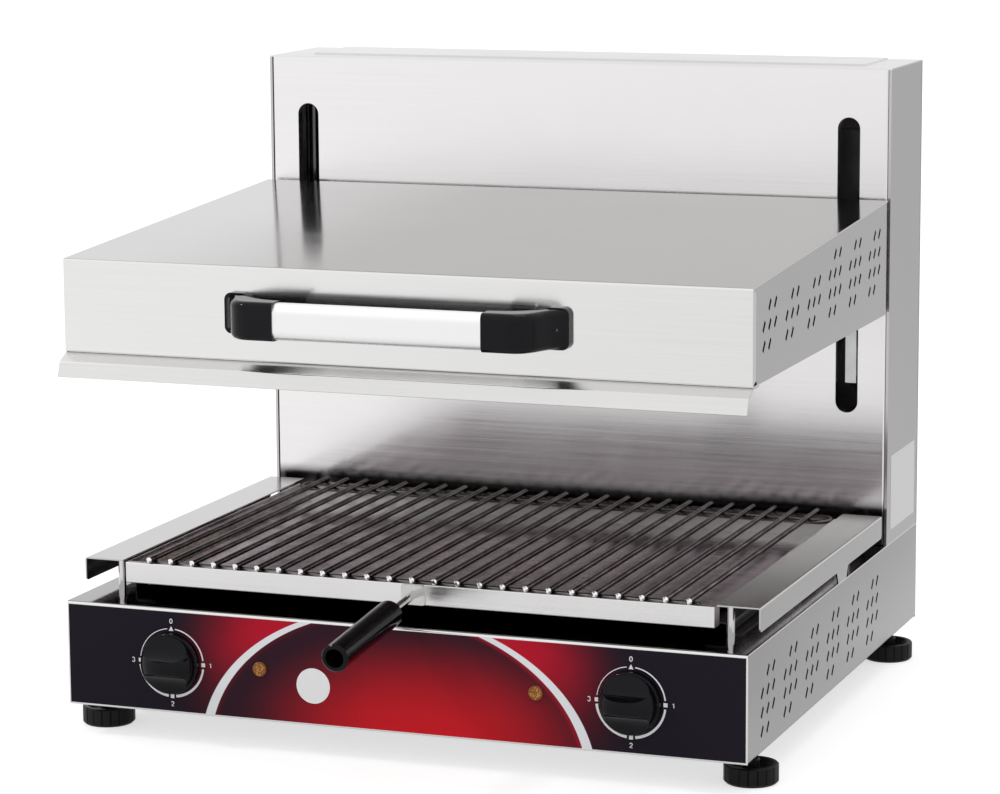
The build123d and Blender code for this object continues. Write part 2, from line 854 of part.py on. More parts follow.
# ---------------------------------------------------------------- column
panel_half = half_width - 2 * sheet - seat_gap
column_inner_back = back_y - sheet
slot_bottom = hood_bottom + arm_low - lift_down - slot_spare_low
slot_top = hood_bottom + arm_high + lift_up + slot_spare_high
slot_length = slot_top - slot_bottom
slot_spots = place_pair(slot_x, (slot_bottom + slot_top) / 2)

with BuildPart() as column_front_panel:
    with BuildSketch(level(base_top + column_gap)):
        with BuildLine():
            FilletPolyline(
                (-panel_half, column_y + column_return),
                (-panel_half, column_y),
                (panel_half, column_y),
                (panel_half, column_y + column_return),
                radius=bend,
            )
            offset(amount=sheet, side=Side.LEFT)
        make_face()
    extrude(amount=column_height - column_gap - sheet)
    with BuildSketch(front_plane(column_y)):
        with Locations(*slot_spots):
            SlotOverall(slot_length + 2 * sheet, slot_width + 2 * sheet, rotation=90)
    extrude(amount=-(sheet + slot_collar))
    with BuildSketch(front_plane(column_y - 1)):
        with Locations(*slot_spots):
            SlotOverall(slot_length, slot_width, rotation=90)
    extrude(amount=-(sheet + slot_collar + 2), mode=Mode.SUBTRACT)
finish(column_front_panel, "column_front_panel")

back_screw_rows = (
    base_top + back_screw_inset,
    (base_top + column_top) / 2,
    column_top - back_screw_inset,
)
back_screw_x = half_width - column_return / 2 - sheet
back_screw_spots = [(x, z) for z in back_screw_rows for x in (-back_screw_x, back_screw_x)]

with BuildPart() as column_side_right:
    with BuildSketch(level(base_top)):
        with BuildLine():
            FilletPolyline(
                (half_width, column_y),
                (half_width, column_inner_back),
                (half_width - column_return, column_inner_back),
                radius=bend,
            )
            offset(amount=sheet, side=Side.LEFT)
        make_face()
        with Locations((inner_side - sheet / 2, column_y + column_hem / 2)):
            Rectangle(sheet, column_hem)
    extrude(amount=column_height - sheet)
    with BuildSketch(front_plane(back_y - 3 * sheet)):
        with Locations(*[spot for spot in back_screw_spots if spot[0] > 0]):
            Circle(screw_m4 / 2 + loose_gap)
    extrude(amount=-3 * sheet, mode=Mode.SUBTRACT)
finish(column_side_right, "column_side_right")

with BuildPart() as column_side_left:
    mirror(column_side_right.part, about=Plane.YZ)
finish(column_side_left, "column_side_left")

with BuildPart() as column_back_panel:
    with BuildSketch(front_plane(column_inner_back)):
        with Locations((0, base_top + (column_height - sheet) / 2)):
            Rectangle(body_width, column_height - sheet)
        with Locations(*back_screw_spots):
            Circle(screw_m4 / 2 + loose_gap, mode=Mode.SUBTRACT)
    extrude(amount=-sheet)
finish(column_back_panel, "column_back_panel")

base_screw_spots = [(x, base_screw_z) for x in base_screw_xs]

with BuildPart() as rear_screws:
    with BuildSketch(front_plane(back_y)):
        with Locations(*back_screw_spots, *base_screw_spots):
            Circle(pan_head / 2)
    extrude(amount=-pan_head_height)
    chamfer(rear_screws.edges().group_by(Axis.Y)[-1], pan_head_edge)
    with BuildSketch(front_plane(back_y)):
        with Locations(*back_screw_spots, *base_screw_spots):
            Circle(screw_m4 / 2)
    extrude(amount=rear_screw_length)
finish(rear_screws, "rear_screws")

lid_y = column_y + lid_front
lid_length = back_y - sheet - lid_y
lid_spot = (0, lid_y + lid_length / 2)
lid_half_width = half_width - lid_from_side

with BuildPart() as column_top_cap:
    with BuildSketch(level(column_top - sheet)):
        with Locations((0, column_y + column_depth / 2)):
            Rectangle(body_width, column_depth)
        with Locations(lid_spot):
            Rectangle(
                2 * (lid_half_width - lid_overlap), lid_length - 2 * lid_overlap, mode=Mode.SUBTRACT
            )
    extrude(amount=sheet)
finish(column_top_cap, "column_top_cap")

with BuildPart() as column_top_lid:
    with BuildSketch(level(column_top)):
        with Locations(lid_spot):
            RectangleRounded(2 * lid_half_width, lid_length, lid_corner)
    extrude(amount=sheet)
finish(column_top_lid, "column_top_lid")

# ---------------------------------------------------------------- guide rods and their brackets
guide_low = base_top + guide_end_gap
guide_high = column_top - sheet - guide_end_gap

with BuildPart() as guide_rods:
    with BuildSketch(level(guide_low)):
        with Locations((-guide_x, guide_y), (guide_x, guide_y)):
            Circle(guide_diameter / 2)
    extrude(amount=guide_high - guide_low)
finish(guide_rods, "guide_rods")

with BuildPart() as guide_rod_brackets:
    bracket_inner = guide_x - bracket_side
    bracket_width = inner_side - bracket_inner
    for bracket_z in (base_top, column_top - sheet - bracket_height):
        with BuildSketch(level(bracket_z)):
            for way in (-1, 1):
                with Locations((way * (bracket_inner + bracket_width / 2), guide_y)):
                    Rectangle(bracket_width, 2 * bracket_half_depth)
                with Locations((way * guide_x, guide_y)):
                    Circle(guide_diameter / 2 + running_gap, mode=Mode.SUBTRACT)
        extrude(amount=bracket_height)
finish(guide_rod_brackets, "guide_rod_brackets")


# ---------------------------------------------------------------- carriages and bushes
carriage_low = hood_bottom - carriage_bar_below
carriage_high = hood_bottom + carriage_bar_above
block_lows = (hood_bottom + lower_block, hood_bottom + upper_block)
arm_plate_z = hood_bottom + (arm_low + arm_high) / 2
arm_plate_height = arm_high - arm_low + 2 * arm_plate_margin
arm_screw_x = arm_plate_half_width - arm_screw_inset[0]
arm_screw_z = arm_plate_height / 2 - arm_screw_inset[1]
arm_screw_spots = [
    (way * slot_x + dx, arm_plate_z + dz)
    for way in (-1, 1)
    for dx in (-arm_screw_x, arm_screw_x)
    for dz in (-arm_screw_z, arm_screw_z)
]

with BuildPart() as carriage_right:
    bar_y = column_y + carriage_bar_front
    bar_back = bar_y + carriage_bar_depth
    with BuildSketch(level(carriage_low)):
        with Locations((slot_x, bar_y + carriage_bar_depth / 2)):
            Rectangle(carriage_bar_width, carriage_bar_depth)
    extrude(amount=carriage_high - carriage_low)
    with BuildSketch(side_plane(slot_x)):
        with Locations(((hood_back_y + bar_back) / 2, arm_plate_z)):
            Rectangle(bar_back - hood_back_y, arm_high - arm_low)
    extrude(amount=carriage_bar_width / 2, both=True)
    with BuildSketch(front_plane(hood_back_y)):
        with Locations((slot_x, arm_plate_z)):
            RectangleRounded(2 * arm_plate_half_width, arm_plate_height, arm_plate_corner)
        with Locations(*[spot for spot in arm_screw_spots if spot[0] > 0]):
            Circle(screw_m6 / 2 + loose_gap, mode=Mode.SUBTRACT)
    extrude(amount=-arm_plate)
    for block_z in block_lows:
        with BuildSketch(level(block_z)):
            with Locations((guide_x, (bar_back + column_y + block_back) / 2)):
                Rectangle(2 * block_half_width, column_y + block_back - bar_back)
        extrude(amount=block_height)
    lug_inner = outer_run_x - lug_inner_margin
    lug_outer = slot_x + carriage_bar_width / 2
    lug_back_y = column_y + lug_back
    with BuildSketch(level(hood_bottom + lug_low)):
        with Locations(((lug_inner + lug_outer) / 2, (bar_back + lug_back_y) / 2)):
            Rectangle(lug_outer - lug_inner, lug_back_y - bar_back)
        with Locations((guide_x, guide_y)):
            Circle(guide_diameter / 2 + lug_rod_clearance, mode=Mode.SUBTRACT)
    extrude(amount=lug_thickness)
    with BuildSketch(level(carriage_low)):
        with Locations((guide_x, guide_y)):
            Circle(bush_diameter / 2 + running_gap)
    extrude(amount=carriage_high - carriage_low, mode=Mode.SUBTRACT)
finish(carriage_right, "carriage_right")

with BuildPart() as carriage_left:
    mirror(carriage_right.part, about=Plane.YZ)
finish(carriage_left, "carriage_left")

with BuildPart() as guide_bushes:
    for block_z in block_lows:
        with BuildSketch(level(block_z)):
            with Locations((-guide_x, guide_y), (guide_x, guide_y)):
                Circle(bush_diameter / 2)
                Circle(guide_diameter / 2 + running_gap, mode=Mode.SUBTRACT)
        extrude(amount=block_height)
finish(guide_bushes, "guide_bushes")

# ---------------------------------------------------------------- pulleys, cables and weight
crossbar_y = column_y + crossbar_depth
crossbar_half_length = pulley_x + crossbar_past_axle
pulley_rim = pulley_pitch_radius + pulley_flange

with BuildPart() as pulley_crossbar:
    crossbar_path = [
        (column_inner_back, pulley_z - crossbar_half_height),
        (crossbar_y, pulley_z - crossbar_half_height),
        (crossbar_y, pulley_z + crossbar_half_height),
        (column_inner_back, pulley_z + crossbar_half_height),
    ]
    crossbar_section = folded(
        side_plane(-crossbar_half_length), crossbar_path, Side.RIGHT, crossbar_sheet, 2 * bend
    )
    extrude(crossbar_section, amount=2 * crossbar_half_length)
    with BuildSketch(front_plane(crossbar_y + crossbar_sheet / 2)):
        with Locations((-pulley_x, pulley_z), (pulley_x, pulley_z)):
            Circle(axle_diameter / 2)
    axle_front = cable_y - pulley_width / 2 - running_gap - axle_head_thickness
    extrude(amount=crossbar_y + crossbar_sheet / 2 - axle_front)
    with BuildSketch(front_plane(axle_front)):
        with Locations((-pulley_x, pulley_z), (pulley_x, pulley_z)):
            Circle(axle_head / 2)
    extrude(amount=-axle_head_thickness)
    with BuildSketch(front_plane(cable_y + pulley_width / 2 + running_gap)):
        with Locations((-pulley_x, pulley_z), (pulley_x, pulley_z)):
            Circle(axle_head / 2)
    extrude(amount=-(crossbar_y - cable_y - pulley_width / 2 - running_gap))
finish(pulley_crossbar, "pulley_crossbar")


def cable_pulley(x):
    """Grooved pulley on its axle."""
    groove = pulley_pitch_radius - cable_diameter / 2 - seat_gap
    half = pulley_width / 2
    mouth = half - pulley_edge
    root = cable_diameter / 2 + pulley_groove_room
    bore = axle_diameter / 2 + running_gap
    with BuildPart() as pulley:
        with BuildSketch(Plane.XY):
            Polygon(
                (bore, -half),
                (pulley_rim, -half),
                (pulley_rim, -mouth),
                (groove, -root),
                (groove, root),
                (pulley_rim, mouth),
                (pulley_rim, half),
                (bore, half),
                align=None,
            )
        revolve(axis=Axis.Y)
    with BuildPart() as placed:
        with Locations((x, cable_y, pulley_z)):
            add(pulley.part)
    return placed


finish(cable_pulley(-pulley_x), "pulley_left")
finish(cable_pulley(pulley_x), "pulley_right")

lug_top = hood_bottom + lug_low + lug_thickness
weight_top = weight_z + weight_height


def cable_runs(x, low):
    """Left and right straight stretches of the cables, up to the pulleys' axle height."""
    with BuildPart() as runs:
        with BuildSketch(level(low)):
            with Locations((-x, cable_y), (x, cable_y)):
                Circle(cable_diameter / 2)
        extrude(amount=pulley_z - low)
    return runs


finish(cable_runs(outer_run_x, lug_top), "lift_cable_hood_runs")
finish(cable_runs(inner_run_x, weight_top), "lift_cable_weight_runs")

with BuildPart() as lift_cable_wraps:
    with BuildSketch(level(pulley_z)):
        with Locations((outer_run_x, cable_y)):
            Circle(cable_diameter / 2)
    revolve(axis=Axis((pulley_x, cable_y, pulley_z), (0, -1, 0)), revolution_arc=180)
    mirror(about=Plane.YZ)
finish(lift_cable_wraps, "lift_cable_wraps")

with BuildPart() as counterweight:
    with BuildSketch(level(weight_z)):
        with Locations((0, cable_y)):
            Rectangle(2 * (inner_run_x + weight_past_cable), weight_thickness)
    extrude(amount=weight_height)
    chamfer(counterweight.edges().filter_by(Axis.Z, reverse=True), weight_chamfer)
finish(counterweight, "counterweight")

# ---------------------------------------------------------------- hood casing
hood_front_top = hood_bottom + hood_front_height
hood_back_top = hood_bottom + hood_back_height
under_top = sheet * sqrt(1 + hood_slope**2)
hood_side_x = half_width - sheet
pull_foot_x = (pull_span - pull_foot_width) / 2
pull_screw_spots = place_pair(pull_foot_x, pull_z)


def hood_top_z(y):
    """Height of the hood's sloping top skin."""
    return hood_front_top + (y - hood_y) * hood_slope


with BuildPart() as hood_cover:
    hood_path = [
        (hood_y + hood_flange, hood_bottom),
        (hood_y, hood_bottom),
        (hood_y, hood_front_top),
        (hood_back_y, hood_back_top),
    ]
    extrude(folded(side_plane(-half_width), hood_path, Side.RIGHT), amount=body_width)
    for way in (-1, 1):
        with BuildSketch(side_plane(way * (half_width - sheet / 2))):
            with BuildLine():
                Polyline(
                    (hood_y + sheet / 2, hood_bottom + sheet / 2),
                    (hood_y + hood_tab, hood_bottom + hood_tab_chamfer),
                    (hood_y + hood_tab, hood_front_top - hood_tab_chamfer),
                    (hood_y + sheet / 2, hood_front_top - sheet),
                    close=True,
                )
            make_face()
        extrude(amount=sheet / 2, both=True)
    with BuildSketch(front_plane(hood_y - 1)):
        with Locations(*pull_screw_spots):
            Circle(screw_m5 / 2 + loose_gap)
    extrude(amount=-(sheet + 2), mode=Mode.SUBTRACT)
finish(hood_cover, "hood_cover")

side_front = hood_y + sheet + loose_gap
side_back = hood_back_y - sheet
side_flange_front = hood_y + hood_flange + loose_gap

with BuildPart() as hood_side_right:
    with BuildSketch(side_plane(hood_side_x - sheet)):
        with BuildLine():
            Polyline(
                (side_flange_front, hood_bottom),
                (side_back, hood_bottom),
                (side_back, hood_top_z(side_back) - under_top - loose_gap),
                (side_front + bend, hood_top_z(side_front + bend) - under_top - loose_gap),
                (side_front, hood_top_z(side_front) - under_top - bend),
                (side_front, hood_bottom + sheet + bend),
                (side_flange_front, hood_bottom + sheet + bend),
                close=True,
            )
        make_face()
    extrude(amount=sheet)
    with BuildSketch(level(hood_bottom)):
        with Locations((hood_side_x - hood_flange / 2, (side_flange_front + side_back) / 2)):
            Rectangle(hood_flange, side_back - side_flange_front)
    extrude(amount=sheet)
    with BuildSketch(side_plane(hood_side_x + 1)):
        vents = vent_places(
            hood_vent_columns, hood_vent_pitch, hood_vent_start, hood_vent_height, hood_tall_vent_columns
        )
        with Locations(*[(hood_y + y, hood_bottom + z) for y, z in vents]):
            Rectangle(vent_width, vent_length, rotation=-vent_slant)
    extrude(amount=-(sheet + 2), mode=Mode.SUBTRACT)
finish(hood_side_right, "hood_side_right")

with BuildPart() as hood_side_left:
    mirror(hood_side_right.part, about=Plane.YZ)
finish(hood_side_left, "hood_side_left")

with BuildPart() as hood_rear_panel:
    rear_height = hood_top_z(side_back) - under_top - loose_gap - hood_bottom
    with BuildSketch(front_plane(hood_back_y)):
        with Locations((0, hood_bottom + rear_height / 2)):
            Rectangle(2 * hood_side_x, rear_height)
        with Locations(*arm_screw_spots):
            Circle(screw_m6 / 2 + loose_gap, mode=Mode.SUBTRACT)
    extrude(amount=sheet)
finish(hood_rear_panel, "hood_rear_panel")

with BuildPart() as hood_lip:
    lip_path = [
        (hood_y + lip_start, hood_bottom),
        (hood_y + lip_top_gap, hood_bottom),
        (hood_y - lip_reach, hood_bottom - lip_slope_drop),
        (hood_y - lip_reach - lip_splay, hood_bottom - lip_drop),
    ]
    extrude(folded(side_plane(-half_width), lip_path), amount=body_width)
finish(hood_lip, "hood_lip")

# ---------------------------------------------------------------- heated inside of the hood
pan_low = hood_bottom + sheet
pan_front = hood_y + sheet + bend
pan_back = hood_back_y - sheet - loose_gap
pan_half_x = hood_side_x - sheet - bend
pan_y = (pan_front + pan_back) / 2
pan_top = pan_low + reflector_height
element_pitch = (pan_half_x - element_side_gap - element_start) / (element_runs - 1)
run_xs = [element_start + run * element_pitch for run in range(element_runs)]
support_z = element_z - element_diameter / 2 - support_diameter / 2 - loose_gap
support_ys = [hood_y + position for position in support_positions]
element_end_y = hood_back_y - element_end

reflector_end_x = pan_half_x - reflector_sheet - loose_gap
reflector_slope = reflector_height * tan(radians(reflector_taper))

with BuildPart() as reflector:
    skin_path = [
        (pan_front, pan_low),
        (pan_front + reflector_slope, pan_top),
        (pan_back - reflector_slope, pan_top),
        (pan_back, pan_low),
    ]
    skin_section = folded(side_plane(-reflector_end_x), skin_path, Side.RIGHT, reflector_sheet)
    extrude(skin_section, amount=2 * reflector_end_x)
    with BuildSketch(level(pan_low)):
        with Locations((0, pan_y)):
            Rectangle(2 * pan_half_x, pan_back - pan_front)
    extrude(amount=-reflector_sheet, mode=Mode.SUBTRACT)
    with BuildSketch(front_plane(pan_back)):
        with Locations(*[(way * x, element_z) for way in (-1, 1) for x in (run_xs[0], run_xs[-1])]):
            Circle(element_diameter / 2 + loose_gap)
    extrude(amount=element_turn_back - element_end, mode=Mode.SUBTRACT)
    with BuildSketch(side_plane(reflector_end_x + loose_gap)) as end_plate:
        with BuildLine():
            Polyline(*skin_path, close=True)
        make_face()
        with Locations(*[(y, support_z) for y in support_ys]):
            Circle(support_diameter / 2 + loose_gap, mode=Mode.SUBTRACT)
    extrude(amount=reflector_sheet)
    extrude(end_plate.sketch.mirror(Plane.YZ), amount=reflector_sheet)
finish(reflector, "reflector")

with BuildPart() as insulation_blanket:
    blanket_length = pan_back - pan_front - 2 * blanket_margin
    with BuildSketch(level(pan_top)):
        with Locations((0, pan_y)):
            RectangleRounded(2 * (pan_half_x - blanket_margin), blanket_length, blanket_corner)
    extrude(amount=blanket_height)
finish(insulation_blanket, "insulation_blanket")

with BuildPart() as element_support_rods:
    with BuildSketch(side_plane(-pan_half_x)):
        with Locations(*[(y, support_z) for y in support_ys]):
            Circle(support_diameter / 2)
    extrude(amount=2 * pan_half_x)
finish(element_support_rods, "element_support_rods")

front_turn_y = hood_y + element_front + element_pitch / 2
rear_turn_y = hood_back_y - element_turn_back

with BuildPart() as heating_element_right:
    turn = element_pitch / 2
    with BuildLine(level(element_z)):
        for run, run_x in enumerate(run_xs):
            outer = run in (0, element_runs - 1)
            run_back = element_end_y if outer else rear_turn_y
            near, far = (run_x, front_turn_y), (run_x, run_back)
            Line(far, near) if run % 2 == 0 else Line(near, far)
            if run < element_runs - 1:
                turn_y = front_turn_y if run % 2 == 0 else rear_turn_y
                CenterArc((run_x + turn, turn_y), turn, 180, 180 if run % 2 == 0 else -180)
    with BuildSketch(front_plane(element_end_y)):
        with Locations((run_xs[0], element_z)):
            Circle(element_diameter / 2)
    sweep()
finish(heating_element_right, "heating_element_right")

with BuildPart() as heating_element_left:
    mirror(heating_element_right.part, about=Plane.YZ)
finish(heating_element_left, "heating_element_left")

# ---------------------------------------------------------------- hood handle
tube_depth, tube_height = pull_tube_size
tube_y = hood_y - pull_reach + tube_depth / 2
half_tube = pull_tube_length / 2

with BuildPart() as hood_handle_tube:
    with BuildSketch(side_plane(-(half_tube + pull_socket))):
        with Locations((tube_y, pull_z)):
            RectangleRounded(tube_depth, tube_height, pull_tube_radius)
            RectangleRounded(
                tube_depth - 2 * pull_tube_wall,
                tube_height - 2 * pull_tube_wall,
                pull_tube_radius - pull_tube_wall,
                mode=Mode.SUBTRACT,
            )
    extrude(amount=2 * (half_tube + pull_socket))
finish(hood_handle_tube, "hood_handle_tube")

with BuildPart() as hood_handle_end_right:
    end_depth = tube_depth + 2 * pull_end_wall
    end_height = tube_height + 2 * pull_end_wall
    end_front = tube_y - end_depth / 2
    end_back = tube_y + end_depth / 2
    neck_outer = pull_span / 2 - pull_neck_inset
    neck_inner = pull_span / 2 - pull_foot_width + pull_neck_inset
    foot_face = hood_y - pull_foot_thickness
    with BuildSketch(level(pull_z)):
        with BuildLine():
            Line((half_tube, end_back), (half_tube, end_front))
            Line((half_tube, end_front), (half_tube + pull_flat, end_front))
            Spline(
                (half_tube + pull_flat, end_front),
                (neck_outer, foot_face),
                tangents=[(1, 0), (1, 0.5)],
            )
            Line((neck_outer, foot_face), (neck_inner, foot_face))
            Spline(
                (neck_inner, foot_face),
                (half_tube, end_back),
                tangents=[(-1, -0.8), (-1, 0)],
            )
        make_face()
    extrude(amount=end_height / 2, both=True)
    long_edges = hood_handle_end_right.edges().filter_by(Plane.XY).group_by(Axis.Z)
    fillet([edge for edge in long_edges[0] + long_edges[-1] if edge.length > pull_flat], pull_round)
    with BuildSketch(front_plane(hood_y)):
        with Locations((pull_foot_x, pull_z)):
            RectangleRounded(pull_foot_width, pull_foot_height, pull_foot_corner)
    extrude(amount=pull_foot_thickness + pull_foot_merge)
    with BuildSketch(side_plane(half_tube - 1)):
        with Locations((tube_y, pull_z)):
            RectangleRounded(
                tube_depth + 2 * loose_gap, tube_height + 2 * loose_gap, pull_tube_radius + loose_gap
            )
    extrude(amount=pull_socket + 1 + loose_gap, mode=Mode.SUBTRACT)
    with BuildSketch(front_plane(hood_y)):
        with Locations((pull_foot_x, pull_z)):
            Circle(screw_m5 / 2 + loose_gap)
    extrude(amount=pull_screw_reach + 1, mode=Mode.SUBTRACT)
finish(hood_handle_end_right, "hood_handle_end_right")

with BuildPart() as hood_handle_end_left:
    mirror(hood_handle_end_right.part, about=Plane.YZ)
finish(hood_handle_end_left, "hood_handle_end_left")

hood_screw_rows = [
    (screw_m5, pull_screw_spots, hood_y + sheet, -1, sheet + pull_screw_reach),
    (screw_m6, arm_screw_spots, hood_back_y - sheet, 1, sheet + arm_plate),
]

with BuildPart() as hood_screws:
    for screw, spots, seat_y, head_way, length in hood_screw_rows:
        with BuildSketch(front_plane(seat_y)):
            with Locations(*spots):
                RegularPolygon(hex_head_ratio * screw / 2, 6, major_radius=False)
        extrude(amount=head_way * hex_head_height * screw)
        with BuildSketch(front_plane(seat_y)):
            with Locations(*spots):
                Circle(screw / 2)
        extrude(amount=-head_way * length)
finish(hood_screws, "hood_screws")
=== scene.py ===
import math

import bmesh
import bpy
from mathutils import Matrix, Vector


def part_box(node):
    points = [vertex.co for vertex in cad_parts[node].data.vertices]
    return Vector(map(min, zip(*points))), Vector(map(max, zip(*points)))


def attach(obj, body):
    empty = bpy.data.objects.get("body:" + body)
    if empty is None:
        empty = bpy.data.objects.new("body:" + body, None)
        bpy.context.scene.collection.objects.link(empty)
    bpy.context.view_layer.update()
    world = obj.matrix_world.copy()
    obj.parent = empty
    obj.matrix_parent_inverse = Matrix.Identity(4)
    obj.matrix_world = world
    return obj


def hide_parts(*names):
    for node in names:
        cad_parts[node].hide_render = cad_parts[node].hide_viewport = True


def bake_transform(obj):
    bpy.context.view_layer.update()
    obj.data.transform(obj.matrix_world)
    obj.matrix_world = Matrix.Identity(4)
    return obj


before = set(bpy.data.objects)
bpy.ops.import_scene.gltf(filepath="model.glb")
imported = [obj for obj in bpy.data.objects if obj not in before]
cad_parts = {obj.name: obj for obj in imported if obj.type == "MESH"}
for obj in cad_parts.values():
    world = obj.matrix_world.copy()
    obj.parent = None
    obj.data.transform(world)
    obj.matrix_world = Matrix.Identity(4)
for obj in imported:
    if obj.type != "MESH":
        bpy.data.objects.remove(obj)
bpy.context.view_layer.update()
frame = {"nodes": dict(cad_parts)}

MM = 0.001
NODES = frame["nodes"]

# ---------------------------------------------------------------- places read from the frame
base_low, base_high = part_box("base_cover")
front_y = base_low[1]
base_z = base_low[2]
base_top = base_high[2]
overlay_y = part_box("control_overlay")[0][1]
side_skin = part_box("base_side_right")[1][0]
hood_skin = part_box("hood_side_right")[1][0]
column_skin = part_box("column_side_right")[1][0]
column_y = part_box("column_front_panel")[0][1]
column_back_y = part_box("column_back_panel")[1][1]
tray_low, tray_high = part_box("drip_tray")
grid_front_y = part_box("wire_grid")[0][1]


# ---------------------------------------------------------------- node tree helpers
class Tree:
    """A material's node tree, with short calls for the nodes that the materials below use."""

    def __init__(self, name):
        self.material = bpy.data.materials.new(name)
        self.material.use_nodes = True
        self.nodes = self.material.node_tree.nodes
        self.links = self.material.node_tree.links
        self.shader = self.nodes["Principled BSDF"]
        self.object_place = self.add("ShaderNodeTexCoord").outputs["Object"]

    def add(self, kind, **settings):
        node = self.nodes.new(kind)
        for key, value in settings.items():
            setattr(node, key, value)
        return node

    def put(self, socket, value):
        """Links a socket to an output, or sets its plain value."""
        if isinstance(value, bpy.types.NodeSocket):
            self.links.new(value, socket)
        else:
            socket.default_value = value

    def math(self, operation, a, b=0.0):
        node = self.add("ShaderNodeMath", operation=operation)
        self.put(node.inputs[0], a)
        self.put(node.inputs[1], b)
        return node.outputs[0]

    def mapped(self, scale):
        node = self.add("ShaderNodeMapping")
        self.put(node.inputs["Vector"], self.object_place)
        node.inputs["Scale"].default_value = scale
        return node.outputs[0]

    def noise(self, scale, detail=2.0, rough=0.5):
        """Noise between 0 and 1; scale is one number or one for each axis, in cells per metre."""
        vector = scale if isinstance(scale, tuple) else (scale, scale, scale)
        node = self.add("ShaderNodeTexNoise")
        self.put(node.inputs["Vector"], self.mapped(vector))
        node.inputs["Scale"].default_value = 1.0
        node.inputs["Detail"].default_value = detail
        node.inputs["Roughness"].default_value = rough
        return node.outputs["Fac"]

    def cells(self, scale):
        node = self.add("ShaderNodeTexVoronoi")
        self.put(node.inputs["Vector"], self.object_place)
        node.inputs["Scale"].default_value = scale
        return node

    def span(self, value, low, high, new_low=0.0, new_high=1.0, smooth=True):
        """Carries a value from one range to another, kept inside it."""
        node = self.add("ShaderNodeMapRange", clamp=True)
        node.interpolation_type = "SMOOTHSTEP" if smooth else "LINEAR"
        self.put(node.inputs["Value"], value)
        for key, number in (
            ("From Min", low),
            ("From Max", high),
            ("To Min", new_low),
            ("To Max", new_high),
        ):
            node.inputs[key].default_value = number
        return node.outputs["Result"]

    def blend(self, share, a, b, mode="MIX"):
        node = self.add("ShaderNodeMix", data_type="RGBA", blend_type=mode)
        self.put(node.inputs[0], share)
        for socket, value in ((node.inputs[6], a), (node.inputs[7], b)):
            self.put(socket, (*value, 1.0) if isinstance(value, tuple) and len(value) == 3 else value)
        return node.outputs[2]

    def bump(self, height, distance):
        """Bump of a height between 0 and 1; distance in metres."""
        node = self.add("ShaderNodeBump")
        self.put(node.inputs["Height"], height)
        node.inputs["Distance"].default_value = distance
        if self.shader.inputs["Normal"].is_linked:
            self.put(node.inputs["Normal"], self.shader.inputs["Normal"].links[0].from_socket)
        self.put(self.shader.inputs["Normal"], node.outputs[0])

    def set(self, **values):
        for key, value in values.items():
            socket = self.shader.inputs[key.replace("_", " ")]
            self.put(socket, (*value, 1.0) if isinstance(value, tuple) and len(value) == 3 else value)


def split(tree, vector):
    node = tree.add("ShaderNodeSeparateXYZ")
    tree.put(node.inputs[0], vector)
    return node.outputs


def dress(material, *names):
    """Gives a material to CAD nodes."""
    for name in names:
        slots = NODES[name].material_slots
        for material_slot in slots:
            material_slot.material = material


# ---------------------------------------------------------------- sheet steel
SKIN_EDGE = 0.12 * MM
GRAIN_FINE = 1400.0
GRAIN_COARSE = 330.0
GRAIN_ALONG = 6.0
GREY_FRONT = (0.84, 0.835, 0.83)
# side sheets: the same steel painted darker, as painted shade and darker reflection
SIDE_GREY_PAINTED_SHADE = (0.44, 0.43, 0.43)
UPPER_SIDE_GREY_PAINTED_SHADE = (0.60, 0.585, 0.585)
GRAIN_DEPTH = 0.008 * MM
GRAIN_SKEW = (0.03, 0.02, 0.025)  # off the axis, so that faces across it have a grain too
# where top faces turn from the left tone to the right one: painted reflection
PAINTED_TOP_REFLECTION_FROM_TO = (-260 * MM, -40 * MM)
DARK_FOOT = (0.06, 0.055, 0.055)
DARK_FOOT_FROM_TO = (base_top + 32 * MM, base_top + 46 * MM)
# inside of the casing: painted shade, near black
CASING_INSIDE_PAINTED_SHADE = (0.02, 0.02, 0.02)
COLUMN_HEM_DEPTH = 3 * MM


def grain_scale(axis, across):
    return tuple(GRAIN_ALONG if k == axis else across for k in range(3))


def skin_share(tree, axis, skin, depth=0.15 * MM):
    """1 on the outer skin of a sheet across an axis, 0 deeper than the depth inside the casing."""
    reach = tree.math("ABSOLUTE", split(tree, tree.object_place)[axis])
    return tree.span(reach, skin - depth, skin - depth + SKIN_EDGE)


